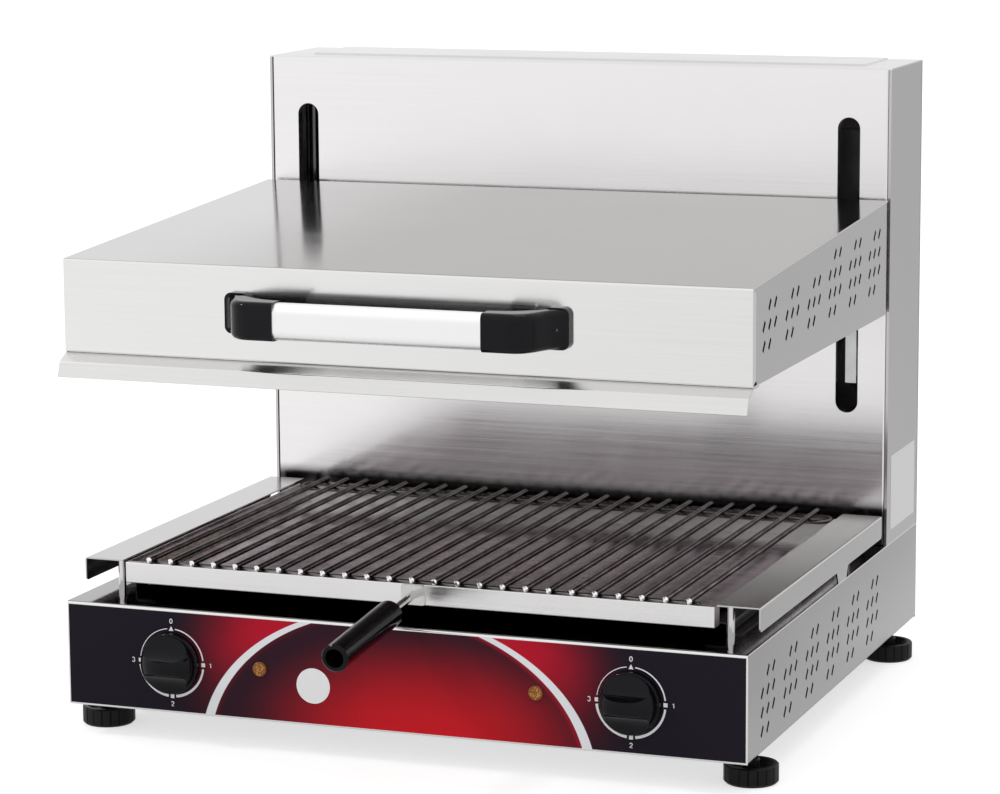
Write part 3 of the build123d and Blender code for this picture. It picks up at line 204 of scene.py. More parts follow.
def brushed_steel(
    name, axis, colour=GREY_FRONT, top=None, rough=0.16, top_rough=None, skin=None, dark_foot=None
):
    """Stainless sheet brushed along one axis of the row frame (0, 1 or 2).

    Faces that look up can have their own two tones, a painted reflection from left to right, and their
    own finish. The inside of the casing is dull and painted dark, as shade. The foot of a sheet can be
    painted dark, in place of a reflection.
    All the tones are fitted to one photograph, so they hold some of its reflections.
    """
    tree = Tree(name)
    fine = tree.noise(grain_scale(axis, GRAIN_FINE), 2.0)
    coarse = tree.noise(grain_scale(axis, GRAIN_COARSE), 3.0)
    smear = tree.noise(7.0, 3.0, 0.6)
    streaks = tree.math("ADD", tree.math("MULTIPLY", fine, 0.6), tree.math("MULTIPLY", coarse, 0.4))
    low = tree.span(streaks, 0.3, 0.7, rough - 0.035, rough + 0.035, smooth=False)
    wiped = tree.span(smear, 0.35, 0.7, -0.012, 0.02)
    roughness = tree.math("ADD", low, wiped)
    normal = tree.add("ShaderNodeNewGeometry").outputs["Normal"]
    facing_up = tree.span(split(tree, normal)[2], 0.6, 0.9)
    streak_share = tree.span(streaks, 0.35, 0.65, smooth=False)
    tone = tree.blend(streak_share, tuple(c * 0.965 for c in colour), colour)
    # up-facing faces: painted reflection, two tones from left to right
    if top:
        painted_reflection_across_top = tree.span(split(tree, tree.object_place)[0], *PAINTED_TOP_REFLECTION_FROM_TO)
        grain_top = tree.blend(streaks, (0.965, 0.965, 0.965), (1.0, 1.0, 1.0))
        painted_top_reflection = tree.blend(1.0, tree.blend(painted_reflection_across_top, *top), grain_top, "MULTIPLY")
        tone = tree.blend(facing_up, tone, painted_top_reflection)
    if dark_foot:
        height = tree.math("ADD", split(tree, tree.object_place)[2], tree.math("MULTIPLY", smear, 6 * MM))
        tone = tree.blend(tree.span(height, *dark_foot), DARK_FOOT, tone)
    if top_rough:
        drop = tree.math("MULTIPLY", facing_up, rough - top_rough)
        roughness = tree.math("SUBTRACT", roughness, drop)
    if skin:
        # the casing's inside is painted dark: painted shade
        outer = skin_share(tree, *skin)
        tone = tree.blend(outer, CASING_INSIDE_PAINTED_SHADE, tone)
        roughness = tree.math("ADD", roughness, tree.span(outer, 0.0, 1.0, 0.4, 0.0))
    tree.set(Metallic=1.0, Roughness=roughness, Base_Color=tone, Anisotropic=0.5)
    tree.bump(streaks, GRAIN_DEPTH)
    across = tree.add("ShaderNodeVectorMath", operation="CROSS_PRODUCT")
    direction = list(GRAIN_SKEW)
    direction[axis] = 1.0
    tree.put(across.inputs[0], normal)
    across.inputs[1].default_value = direction
    tree.put(tree.shader.inputs["Tangent"], across.outputs[0])
    return tree.material


def mill_sheet(name, colour, rough, spangle=0.0):
    """Plain rolled or galvanised sheet."""
    tree = Tree(name)
    cloud = tree.noise(26.0, 4.0, 0.6)
    share = tree.span(cloud, 0.3, 0.7)
    tone = tree.blend(share, tuple(c * 0.93 for c in colour), colour)
    roughness = tree.span(cloud, 0.3, 0.7, rough - 0.05, rough + 0.06)
    if spangle:
        crystals = tree.cells(120.0)
        tint = tree.math("MULTIPLY", split(tree, crystals.outputs["Color"])[0], spangle)
        tone = tree.blend(tint, tone, tuple(c * 0.75 for c in colour))
        roughness = tree.math("ADD", roughness, tree.math("MULTIPLY", tint, 0.2))
    tree.set(Metallic=1.0, Base_Color=tone, Roughness=roughness)
    tree.bump(tree.noise(500.0, 3.0), 0.00002)
    return tree.material


VENT_SLANT = math.radians(38)
VENT_LONGEST = 14 * MM
VENT_WIDER = 2.1  # of the CAD slot's width
VENT_SHORTER = 0.86  # of its length
FLANGE_DROP = 1.6 * MM
FLANGE_EDGE_FROM_TO = (5 * MM, 15.6 * MM)  # above the base's top


def slot_centres(bm):
    """Middles of a side sheet's slots, from the groups of joined faces that stand across the sheet."""
    joined = bm.copy()
    bmesh.ops.remove_doubles(joined, verts=joined.verts, dist=0.001 * MM)
    left = {face for face in joined.faces if abs(face.normal.x) < 0.5}
    centres = []
    while left:
        group, ahead = set(), [left.pop()]
        while ahead:
            face = ahead.pop()
            group.add(face)
            near = {other for edge in face.edges for other in edge.link_faces} & left
            left -= near
            ahead.extend(near)
        places = [vert.co for vert in {vert for face in group for vert in face.verts}]
        low, high = (Vector(choose(c[k] for c in places) for k in range(3)) for choose in (min, max))
        if max(high.y - low.y, high.z - low.z) < VENT_LONGEST:
            centres.append((low + high) / 2)
    joined.free()
    return centres


def reshaped(name, body, change):
    """A copy of a CAD node with its points moved by a function of the mesh, shown in the node's place."""
    mesh = NODES[name].data.copy()
    bm = bmesh.new()
    bm.from_mesh(mesh)
    bm.normal_update()
    change(bm)
    bm.to_mesh(mesh)
    bm.free()
    piece = bpy.data.objects.new(f"{name}_shown", mesh)
    bpy.context.scene.collection.objects.link(piece)
    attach(piece, body)
    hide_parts(name)
    NODES[name] = piece


def open_vents(bm):
    """Opens each slanted slot to the width that it has in the photograph, as judged."""
    across = Vector((0, math.cos(VENT_SLANT), -math.sin(VENT_SLANT)))
    along = Vector((0, math.sin(VENT_SLANT), math.cos(VENT_SLANT)))
    centres = slot_centres(bm)
    for vert in bm.verts:
        for centre in centres:
            offset = vert.co - centre
            if math.hypot(offset.y, offset.z) < VENT_LONGEST / 2:
                vert.co += across * offset.dot(across) * (VENT_WIDER - 1)
                vert.co += along * offset.dot(along) * (VENT_SHORTER - 1)
                break


def lower_flange(bm):
    """Carries the lower edge of a rail's outer flange down, which narrows the gap under it."""
    for vert in bm.verts:
        above = vert.co.z - base_top
        if FLANGE_EDGE_FROM_TO[0] < above < FLANGE_EDGE_FROM_TO[1]:
            vert.co.z -= FLANGE_DROP


for side_sheet in ("base_side_left", "base_side_right"):
    reshaped(side_sheet, "base", open_vents)
for side_sheet in ("hood_side_left", "hood_side_right"):
    reshaped(side_sheet, "hood", open_vents)
for rail in ("side_rail_left", "side_rail_right"):
    reshaped(rail, "base", lower_flange)

galvanised = mill_sheet("galvanised_sheet", (0.62, 0.63, 0.64), 0.34, spangle=0.5)
mill = mill_sheet("mill_sheet", (0.64, 0.635, 0.63), 0.26)

# Each sheet's tone, and the left-to-right tones of its top, are painted reflection: the same steel is set
# lighter or darker by how bright that face looks.
dress(
    brushed_steel(
        "stainless_hood", 0, top=((0.55, 0.54, 0.54), (0.34, 0.325, 0.325)), rough=0.15, top_rough=0.13
    ),
    "hood_cover",
)
dress(
    brushed_steel(
        "stainless_base", 0, top=((0.29, 0.28, 0.285), (0.36, 0.35, 0.35)), rough=0.15, top_rough=0.06
    ),
    "base_cover",
)
dress(
    brushed_steel("stainless_cap", 0, top=((0.66, 0.655, 0.655), (0.60, 0.59, 0.59))),
    "column_top_cap",
    "column_top_lid",
)
dress(brushed_steel("stainless_lip", 0, (0.76, 0.755, 0.75), rough=0.2), "hood_lip")
dress(
    brushed_steel("stainless_column", 0, (0.91, 0.895, 0.895), rough=0.17, dark_foot=DARK_FOOT_FROM_TO),
    "column_front_panel",
)
dress(
    brushed_steel("stainless_base_side", 1, SIDE_GREY_PAINTED_SHADE, rough=0.2, skin=(0, side_skin)),
    "base_side_left",
    "base_side_right",
)
dress(
    brushed_steel("stainless_hood_side", 1, UPPER_SIDE_GREY_PAINTED_SHADE, rough=0.2, skin=(0, hood_skin)),
    "hood_side_left",
    "hood_side_right",
)
dress(
    brushed_steel(
        "stainless_column_side", 2, UPPER_SIDE_GREY_PAINTED_SHADE, rough=0.2, skin=(0, column_skin, COLUMN_HEM_DEPTH)
    ),
    "column_side_left",
    "column_side_right",
)
dress(
    brushed_steel("stainless_rail", 1, (0.56, 0.55, 0.55), top=((0.52, 0.51, 0.51), (0.27, 0.255, 0.255))),
    "side_rail_left",
    "side_rail_right",
)
dress(galvanised, "base_rear_panel", "base_floor", "column_back_panel")
dress(mill, "hood_rear_panel")


def tray_steel():
    """Drip tray: bright front, an inside painted darker as shade with a random mottle, and an underside
    painted near black as shade.

    The rear wall is pale and not metallic, painted light to lighten the strip that shows between the
    grid's rods.
    """
    tree = Tree("stainless_tray")
    place = split(tree, tree.object_place)
    normal = split(tree, tree.add("ShaderNodeNewGeometry").outputs["Normal"])
    lines = tree.noise(grain_scale(0, GRAIN_FINE), 2.0)
    cloud = tree.noise(16.0, 4.0, 0.6)
    depth = tray_high[1] - tray_low[1]
    # rear wall: painted light, pale and not metallic
    rear = tree.span(place[1], tray_low[1] + 0.78 * depth, tray_low[1] + 0.9 * depth)
    # inside: painted shade, darker, with a random mottle
    inside_shade_mottle = tree.blend(tree.span(cloud, 0.3, 0.7), (0.34, 0.305, 0.325), (0.74, 0.68, 0.71))
    inside = tree.blend(rear, inside_shade_mottle, (0.96, 0.95, 0.95))
    front = tree.span(place[1], tray_low[1] + 0.5 * MM, tray_low[1] + 0.9 * MM, 1.0, 0.0)
    tone = tree.blend(front, inside, (0.78, 0.77, 0.77))
    # underside: painted shade, near black
    under = tree.span(normal[2], -0.9, -0.6, 1.0, 0.0)
    tone = tree.blend(under, tone, (0.03, 0.03, 0.03))
    brushing = tree.span(lines, 0.3, 0.7, 0.14, 0.22)
    wear = tree.span(cloud, 0.3, 0.7, 0.0, 0.08)
    tree.set(
        Metallic=tree.span(rear, 0.0, 1.0, 1.0, 0.0),
        Base_Color=tone,
        Specular_Tint=(0.6, 0.56, 0.57),
        Roughness=tree.math("ADD", brushing, wear),
    )
    tree.bump(lines, 0.00001)
    return tree.material


dress(tray_steel(), "drip_tray")
dress(mill_sheet("dull_runner", (0.07, 0.07, 0.07), 0.4), "tray_runners")


def heat_tinted(name):
    """The reflector: bright sheet with straw and bronze tints where the elements heat it."""
    tree = Tree(name)
    place = split(tree, tree.object_place)
    ripple = tree.math("SINE", tree.math("MULTIPLY", place[0], 2 * math.pi / (40 * MM)))
    cloud = tree.noise(18.0, 4.0, 0.6)
    heat = tree.math("ADD", tree.math("MULTIPLY", ripple, 0.25), cloud)
    straw = tree.blend(tree.span(heat, 0.25, 0.65), (0.72, 0.70, 0.66), (0.66, 0.56, 0.38))
    tone = tree.blend(tree.span(heat, 0.62, 0.95), straw, (0.42, 0.30, 0.24))
    tree.set(Metallic=1.0, Base_Color=tone, Roughness=tree.span(cloud, 0.3, 0.7, 0.24, 0.36))
    tree.bump(tree.noise(300.0, 2.0), 0.00003)
    return tree.material


dress(heat_tinted("heat_tinted_reflector"), "reflector")


# ---------------------------------------------------------------- wires, rods and small metal
def bright_metal(name, colour, rough, grain_axis=None):
    """Polished, plated or drawn metal, with faint drawing lines along an axis."""
    tree = Tree(name)
    scale = grain_scale(grain_axis, 2200.0) if grain_axis is not None else (700.0, 700.0, 700.0)
    lines = tree.noise(scale, 2.0)
    cloud = tree.noise(60.0, 3.0)
    dark = tuple(c * 0.9 for c in colour)
    tree.set(
        Metallic=1.0,
        Base_Color=tree.blend(tree.span(cloud, 0.35, 0.7), colour, dark),
        Roughness=tree.span(lines, 0.3, 0.7, rough * 0.8, rough * 1.3),
    )
    tree.bump(lines, 0.000008)
    return tree.material


def chromed_wire():
    """Dark chrome for the grid's rods, with a painted highlight, near white, on the rods' ends."""
    tree = Tree("chromed_wire")
    place = split(tree, tree.object_place)
    cloud = tree.noise(55.0, 3.0)
    lines = tree.noise(grain_scale(1, 2200.0), 2.0)
    # the rods' ends: painted highlight
    cut = tree.span(place[1], grid_front_y + 1.3 * MM, grid_front_y + 1.9 * MM, 1.0, 0.0)
    wire = tree.blend(tree.span(cloud, 0.35, 0.7), (0.13, 0.12, 0.122), (0.24, 0.225, 0.23))
    tree.set(
        Metallic=1.0,
        Base_Color=tree.blend(cut, wire, (0.92, 0.92, 0.92)),
        Specular_Tint=(0.5, 0.48, 0.48),
        Roughness=tree.span(lines, 0.3, 0.7, 0.1, 0.17),
    )
    tree.bump(lines, 0.000008)
    return tree.material


dress(chromed_wire(), "wire_grid")
dress(bright_metal("plated_rod", (0.62, 0.615, 0.61), 0.1, 1), "tray_handle_rod")
dress(bright_metal("polished_post", (0.72, 0.715, 0.71), 0.12, 2), "rail_posts")
# dark, unlike the record's chromed rod: painted shade, to match the tones in the column's slots
dress(bright_metal("guide_rod_painted_shade", (0.13, 0.125, 0.125), 0.2, 2), "guide_rods")
dress(bright_metal("oxidised_rod", (0.34, 0.31, 0.28), 0.35, 0), "element_support_rods")
dress(bright_metal("zinc_plate", (0.66, 0.67, 0.68), 0.28), "foot_nuts", "rear_screws", "hood_screws")
dress(bright_metal("turned_brass", (0.70, 0.55, 0.28), 0.25), "guide_bushes")
dress(bright_metal("brass_spindle", (0.68, 0.56, 0.32), 0.3), "switch_spindle_left", "switch_spindle_right")


def tube_metal():
    """Satin aluminium in front and plain black behind, so that the hood's front mirrors it dark."""
    tree = Tree("satin_aluminium")
    lines = tree.noise(grain_scale(0, 1800.0), 2.0)
    low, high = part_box("hood_handle_tube")
    back_from = low[1] + 0.7 * (high[1] - low[1])
    back = tree.span(split(tree, tree.object_place)[1], back_from, back_from + 0.6 * MM)
    metal = tree.blend(lines, (0.93, 0.93, 0.935), (0.96, 0.96, 0.965))
    tree.set(
        Metallic=tree.span(back, 0.0, 1.0, 0.9, 0.0),
        Base_Color=tree.blend(back, metal, (0.03, 0.028, 0.029)),
        Roughness=tree.span(lines, 0.3, 0.7, 0.34, 0.4),
        Specular_IOR_Level=0.3,
    )
    tree.bump(lines, 0.000006)
    return tree.material


dress(tube_metal(), "hood_handle_tube")


def element_metal():
    """Heating element: dark oxidised sheath with a few lighter patches."""
    tree = Tree("element_sheath")
    cloud = tree.noise(90.0, 4.0, 0.6)
    tree.set(
        Metallic=0.7,
        Base_Color=tree.blend(tree.span(cloud, 0.35, 0.7), (0.05, 0.047, 0.045), (0.16, 0.13, 0.115)),
        Roughness=tree.span(cloud, 0.3, 0.7, 0.4, 0.62),
    )
    tree.bump(tree.noise(1200.0, 3.0), 0.00004)
    return tree.material


dress(element_metal(), "heating_element_left", "heating_element_right")


def twisted_rope():
    """Wire rope: strands that wind round it."""
    tree = Tree("wire_rope")
    place = split(tree, tree.object_place)
    turn = tree.math("ADD", place[2], tree.math("MULTIPLY", place[0], 1.2))
    strand = tree.math("SINE", tree.math("MULTIPLY", turn, 2 * math.pi / (1.6 * MM)))
    ridge = tree.span(strand, -1.0, 1.0)
    tree.set(
        Metallic=1.0,
        Base_Color=tree.blend(ridge, (0.16, 0.16, 0.165), (0.52, 0.52, 0.53)),
        Roughness=0.36,
    )
    tree.bump(ridge, 0.0003)
    return tree.material


dress(twisted_rope(), "lift_cable_hood_runs", "lift_cable_wraps", "lift_cable_weight_runs")


def taut_run(name):
    """A copy of a cable's straight stretch, shown in place of the node with its transform baked into the
    mesh.
    """
    source = NODES[name]
    piece = bpy.data.objects.new(f"{name}_shown", source.data.copy())
    bpy.context.scene.collection.objects.link(piece)
    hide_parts(name)
    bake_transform(piece)


taut_run("lift_cable_hood_runs")
taut_run("lift_cable_weight_runs")


def painted(name, colour, rough, grit=0.00004, scale=500.0, metal=0.0):
    """Paint or primer with slight orange peel and dust."""
    tree = Tree(name)
    peel = tree.noise(scale, 3.0)
    dust = tree.noise(45.0, 4.0, 0.6)
    dusty = tuple(min(1.0, c * 1.25 + 0.01) for c in colour)
    tree.set(
        Base_Color=tree.blend(tree.span(dust, 0.4, 0.8), colour, dusty),
        Roughness=tree.span(dust, 0.3, 0.7, rough, rough + 0.12),
        Metallic=metal,
    )
    tree.bump(peel, grit)
    return tree.material


# bright, unlike the record's grey primer: metallic paint whose brightness is painted light, to match the
# tones in the column's slots
dress(
    painted("carriage_paint_painted_light", (0.88, 0.89, 0.90), 0.3, 0.00005, 700.0, 0.8),
    "carriage_left",
    "carriage_right",
)
dress(painted("grey_primer", (0.33, 0.34, 0.35), 0.42), "guide_rod_brackets", "pulley_crossbar")
dress(painted("cast_weight", (0.05, 0.05, 0.055), 0.5, 0.0003, 260.0), "counterweight")
dress(painted("white_nylon", (0.72, 0.70, 0.64), 0.38, 0.00001), "pulley_left", "pulley_right")
dress(painted("switch_moulding", (0.045, 0.045, 0.05), 0.35, 0.00002), "rotary_switches", "terminal_block")
dress(painted("gland_moulding", (0.03, 0.03, 0.033), 0.38, 0.00003), "cable_gland")


def fibre_blanket():
    """Needled ceramic fibre."""
    tree = Tree("ceramic_fibre")
    tuft = tree.noise(420.0, 5.0, 0.7)
    tree.set(
        Base_Color=tree.blend(tuft, (0.66, 0.62, 0.52), (0.86, 0.84, 0.77)),
        Roughness=0.95,
        Sheen_Weight=0.3,
    )
    tree.bump(tuft, 0.002)
    return tree.material


dress(fibre_blanket(), "insulation_blanket")


# ---------------------------------------------------------------- black plastics
PHENOLIC = (0.003, 0.0026, 0.0042)


def black_moulding(name, rough, colour=PHENOLIC, gloss=0.2, texture=0.000015, scale=900.0):
    """Glossy black moulding with handling marks."""
    tree = Tree(name)
    marks = tree.noise(30.0, 4.0, 0.65)
    skin = tree.noise(scale, 2.0)
    tree.set(
        Base_Color=tree.blend(tree.span(marks, 0.4, 0.8), colour, tuple(c * 1.7 for c in colour)),
        Roughness=tree.span(marks, 0.3, 0.75, rough, rough + 0.06),
        Specular_IOR_Level=gloss,
    )
    tree.bump(skin, texture)
    return tree.material


dress(black_moulding("glossy_phenolic", 0.04, gloss=0.16), "knob_left", "knob_right")
dress(black_moulding("handle_moulding", 0.04, gloss=0.18), "hood_handle_end_left", "hood_handle_end_right")
dress(black_moulding("grip_moulding", 0.12, gloss=0.15, texture=0.00003), "tray_handle_grip")
feet = [f"levelling_foot_{end}_{side}" for end in ("front", "back") for side in ("left", "right")]
dress(black_moulding("foot_rubber", 0.34, (0.008, 0.008, 0.009), 0.15, 0.00008, 600.0), *feet)


# ---------------------------------------------------------------- control overlay
ARCH_CENTRE_X = -1.2 * MM
ARCH_CENTRE_Z = base_z - 25.4 * MM
ARCH_OUTER = (175.4 * MM, 129.3 * MM)
ARCH_INNER = (166.8 * MM, 126.0 * MM)


def overlay_print():
    """Printed film: dark ends, red shading and a pale arch."""
    tree = Tree("control_overlay_print")
    place = split(tree, tree.object_place)
    x = tree.math("SUBTRACT", place[0], ARCH_CENTRE_X)
    z = tree.math("SUBTRACT", place[2], ARCH_CENTRE_Z)
    height = tree.math("SUBTRACT", place[2], base_z)

    def ring_distance(radii):
        across = tree.math("POWER", tree.math("DIVIDE", x, radii[0]), 2.0)
        along = tree.math("POWER", tree.math("DIVIDE", z, radii[1]), 2.0)
        return tree.math("SQRT", tree.math("ADD", across, along))

    outer = ring_distance(ARCH_OUTER)
    inner = ring_distance(ARCH_INNER)
    edge = 0.0016
    in_outer = tree.span(outer, 1.0 - edge, 1.0 + edge, 1.0, 0.0)
    out_inner = tree.span(inner, 1.0 - edge, 1.0 + edge)
    stroke = tree.math("MULTIPLY", in_outer, out_inner)

    dark = (0.014, 0.010, 0.018)
    maroon = (0.034, 0.010, 0.019)
    red = (0.52, 0.010, 0.030)
    bright = (0.72, 0.014, 0.022)
    side = tree.math("ABSOLUTE", x)
    fade = tree.span(side, 120 * MM, 214 * MM, 1.0, 0.0)
    upper = tree.span(height, 0.0, 84 * MM, 0.12, 1.0)
    near_arch = tree.span(outer, 1.0, 1.5, 1.0, 0.0)
    glow = tree.math("MULTIPLY", tree.math("MULTIPLY", near_arch, upper), fade)
    outside = tree.blend(glow, dark, red)
    reach_x = tree.math("POWER", tree.math("DIVIDE", tree.math("SUBTRACT", x, 26 * MM), 165 * MM), 2.0)
    reach_z = tree.math("POWER", tree.math("DIVIDE", tree.math("ADD", height, 4 * MM), 94 * MM), 2.0)
    spot = tree.span(tree.math("SQRT", tree.math("ADD", reach_x, reach_z)), 0.1, 1.05, 1.0, 0.0)
    inside = tree.blend(spot, maroon, bright)
    to_right = tree.span(x, -20 * MM, 90 * MM, 0.12, 0.5)
    rim = tree.math("MULTIPLY", tree.span(inner, 0.965, 0.998), to_right)
    inside = tree.blend(rim, inside, red)
    ground = tree.blend(in_outer, outside, inside)
    cloud = tree.noise(14.0, 3.0)
    ground = tree.blend(tree.span(cloud, 0.3, 0.75, 0.0, 0.14), ground, dark)
    tree.set(
        Base_Color=tree.blend(stroke, ground, (0.86, 0.87, 0.90)),
        Roughness=tree.span(tree.noise(24.0, 3.0), 0.3, 0.7, 0.2, 0.27),
        Specular_IOR_Level=0.07,
    )
    tree.bump(tree.noise(380.0, 2.0), 0.000012)
    return tree.material


dress(overlay_print(), "control_overlay")


# ---------------------------------------------------------------- lamps
LAMP_DIAMETER = 12.5 * MM
lamp_low, lamp_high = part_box("pilot_lamps")
lamp_x = (lamp_high[0] - lamp_low[0] - LAMP_DIAMETER) / 2
lamp_z = (lamp_low[2] + lamp_high[2]) / 2


def amber_lens():
    """Unlit amber lens with a cut pattern and a darker rim."""
    tree = Tree("amber_lens")
    place = split(tree, tree.object_place)
    x = tree.math("SUBTRACT", tree.math("ABSOLUTE", place[0]), lamp_x)
    z = tree.math("SUBTRACT", place[2], lamp_z)
    radius = tree.math("SQRT", tree.math("ADD", tree.math("POWER", x, 2.0), tree.math("POWER", z, 2.0)))
    facets = tree.cells(520.0)
    groove = tree.span(facets.outputs["Distance"], 0.1, 0.55)
    glow = tree.blend(groove, (0.80, 0.40, 0.07), (0.26, 0.085, 0.014))
    rim = tree.span(radius, 4.2 * MM, 5.9 * MM)
    tree.set(
        Base_Color=tree.blend(rim, glow, (0.20, 0.07, 0.015)),
        Roughness=0.16,
        Specular_IOR_Level=0.3,
    )
    tree.bump(facets.outputs["Distance"], 0.0004)
    return tree.material


dress(amber_lens(), "pilot_lamps")


# ---------------------------------------------------------------- prints and stickers on the overlay
KNOB_X = 203 * MM
KNOB_Z = base_z + 44 * MM
RING_RADIUS = 29 * MM
NUMBER_RADIUS = 35.6 * MM
PRINT_FRONT = overlay_y - 0.06 * MM


def ribbon(bm, points, widths):
    """Thin flat band along points (x, z) in front of the overlay, with its width at each point."""
    rows = []
    for k, (x, z) in enumerate(points):
        before, after = points[max(k - 1, 0)], points[min(k + 1, len(points) - 1)]
        along = Vector((after[0] - before[0], after[1] - before[1])).normalized()
        side = Vector((-along.y, along.x)) * widths[k] / 2
        row = []
        for sign, y in ((1, PRINT_FRONT), (-1, PRINT_FRONT), (-1, overlay_y), (1, overlay_y)):
            row.append(bm.verts.new((x + sign * side.x, y, z + sign * side.y)))
        rows.append(row)
    for a, b in zip(rows, rows[1:]):
        for k in range(4):
            bm.faces.new((a[k], a[(k + 1) % 4], b[(k + 1) % 4], b[k]))
    bm.faces.new(reversed(rows[0]))
    bm.faces.new(rows[-1])


def arc(centre, radius, start, end, steps=24):
    """Points of an arc, degrees clockwise from the top."""
    angles = [math.radians(start + (end - start) * k / steps) for k in range(steps + 1)]
    return [(centre[0] + radius * math.sin(a), centre[1] + radius * math.cos(a)) for a in angles]


def numeral(centre, digit, height=3.8 * MM):
    """Points of a plain figure."""
    w, h = 0.30 * height, 0.5 * height
    x, z = centre
    if digit == 0:
        return [(x + w * math.sin(a * math.pi / 8), z + h * math.cos(a * math.pi / 8)) for a in range(17)]
    if digit == 1:
        return [(x - 0.6 * w, z + 0.6 * h), (x + 0.3 * w, z + h), (x + 0.3 * w, z - h)]
    if digit == 2:
        top = arc((x, z + h - w), w, -80, 110, 8)
        return top + [(x - w, z - h), (x + w, z - h)]
    upper = arc((x, z + 0.45 * h), 0.52 * h, -70, 170, 8)
    return upper + arc((x, z - 0.45 * h), 0.58 * h, 15, 250, 8)


def as_piece(name, bm, material):
    """Finishes a mesh and lets it ride on the base."""
    bmesh.ops.recalc_face_normals(bm, faces=bm.faces)
    mesh = bpy.data.meshes.new(name)
    bm.to_mesh(mesh)
    bm.free()
    mesh.materials.append(material)
    piece = bpy.data.objects.new(name, mesh)
    bpy.context.scene.collection.objects.link(piece)
    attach(piece, "base")
    return piece


def print_material(name, colour, rough):
    """Printed ink or film with a slight mottle."""
    tree = Tree(name)
    mottle = tree.noise(900.0, 2.0)
    tree.set(
        Base_Color=tree.blend(mottle, tuple(c * 0.93 for c in colour), colour),
        Roughness=tree.span(mottle, 0.3, 0.7, rough, rough + 0.1),
        Specular_IOR_Level=0.2,
    )
    return tree.material


white_ink = print_material("white_ink", (0.94, 0.95, 0.96), 0.3)
STOPS = (0, 90, 180, 270)
ARC_WIDTHS = ((0.9, 1.3), (1.7, 2.4), (2.4, 2.8), (0.6, 0.7))
ARC_GAP = 7.0
FIGURE_STROKE = 0.65 * MM
POINTER_REACHES = (2.0 * MM, -1.8 * MM)
POINTER_WIDTHS = (0.3 * MM, 4.2 * MM)
SQUARE_REACHES = (1.7 * MM, -1.7 * MM)
SQUARE_WIDTHS = (3.4 * MM, 3.4 * MM)

for hand, knob_x in (("left", -KNOB_X), ("right", KNOB_X)):
    centre = (knob_x, KNOB_Z)
    dial = bmesh.new()
    for stop, (width, end_width) in zip(STOPS, ARC_WIDTHS):
        band = arc(centre, RING_RADIUS, stop + ARC_GAP, stop + 90 - ARC_GAP)
        steps = len(band) - 1
        ribbon(dial, band, [(width + (end_width - width) * k / steps) * MM for k in range(steps + 1)])
    for digit, stop in enumerate(STOPS):
        spot = arc(centre, NUMBER_RADIUS, stop, stop, 1)[0]
        figure = numeral(spot, digit)
        ribbon(dial, figure, [FIGURE_STROKE] * len(figure))
        if digit == 0:
            reaches, mark_widths = POINTER_REACHES, POINTER_WIDTHS
        else:
            reaches, mark_widths = SQUARE_REACHES, SQUARE_WIDTHS
        mark = [arc(centre, RING_RADIUS + reach, stop, stop, 1)[0] for reach in reaches]
        ribbon(dial, mark, mark_widths)
    as_piece(f"dial_print_{hand}", dial, white_ink)

FILM = 0.1 * MM
DISC_RADIUS = 15 * MM
DISC_CENTRE = (-74 * MM, overlay_y - FILM / 2, base_z + 34.4 * MM)
DISC_SEGMENTS = 72

disc = bmesh.new()
bmesh.ops.create_cone(
    disc,
    cap_ends=True,
    segments=DISC_SEGMENTS,
    radius1=DISC_RADIUS,
    radius2=DISC_RADIUS,
    depth=FILM,
    matrix=Matrix.Translation(DISC_CENTRE) @ Matrix.Rotation(math.pi / 2, 4, "X"),
)
as_piece("blank_disc_sticker", disc, print_material("white_film", (0.95, 0.95, 0.96), 0.35))

LABEL_ABOVE_BASE = 12 * MM
LABEL_HEIGHT = 68 * MM
LABEL_FROM_FRONT = 14 * MM
LABEL_FROM_BACK = 12 * MM

label = bmesh.new()
label_low = (column_skin, column_y + LABEL_FROM_FRONT, base_top + LABEL_ABOVE_BASE)
label_top = base_top + LABEL_ABOVE_BASE + LABEL_HEIGHT
label_high = (column_skin + FILM, column_back_y - LABEL_FROM_BACK, label_top)
label_size = [high - low for low, high in zip(label_low, label_high)]
label_middle = [(high + low) / 2 for low, high in zip(label_low, label_high)]
label_scale = Matrix.Diagonal((*label_size, 1.0))
bmesh.ops.create_cube(label, size=1.0, matrix=Matrix.Translation(label_middle) @ label_scale)
as_piece("blank_side_label", label, print_material("silver_film", (0.80, 0.80, 0.81), 0.3))


# ---------------------------------------------------------------- camera
PIXELS_WIDE = 1000.0
FOCAL_PIXELS = 3568.6
SENSOR_MM = 36.0
CAMERA_FROM_BASE = (1078.7 * MM, -2635.5 * MM, 764.4 * MM)
CAMERA_YAW, CAMERA_PITCH, CAMERA_ROLL = (math.radians(a) for a in (20.515, 9.651, -0.364))


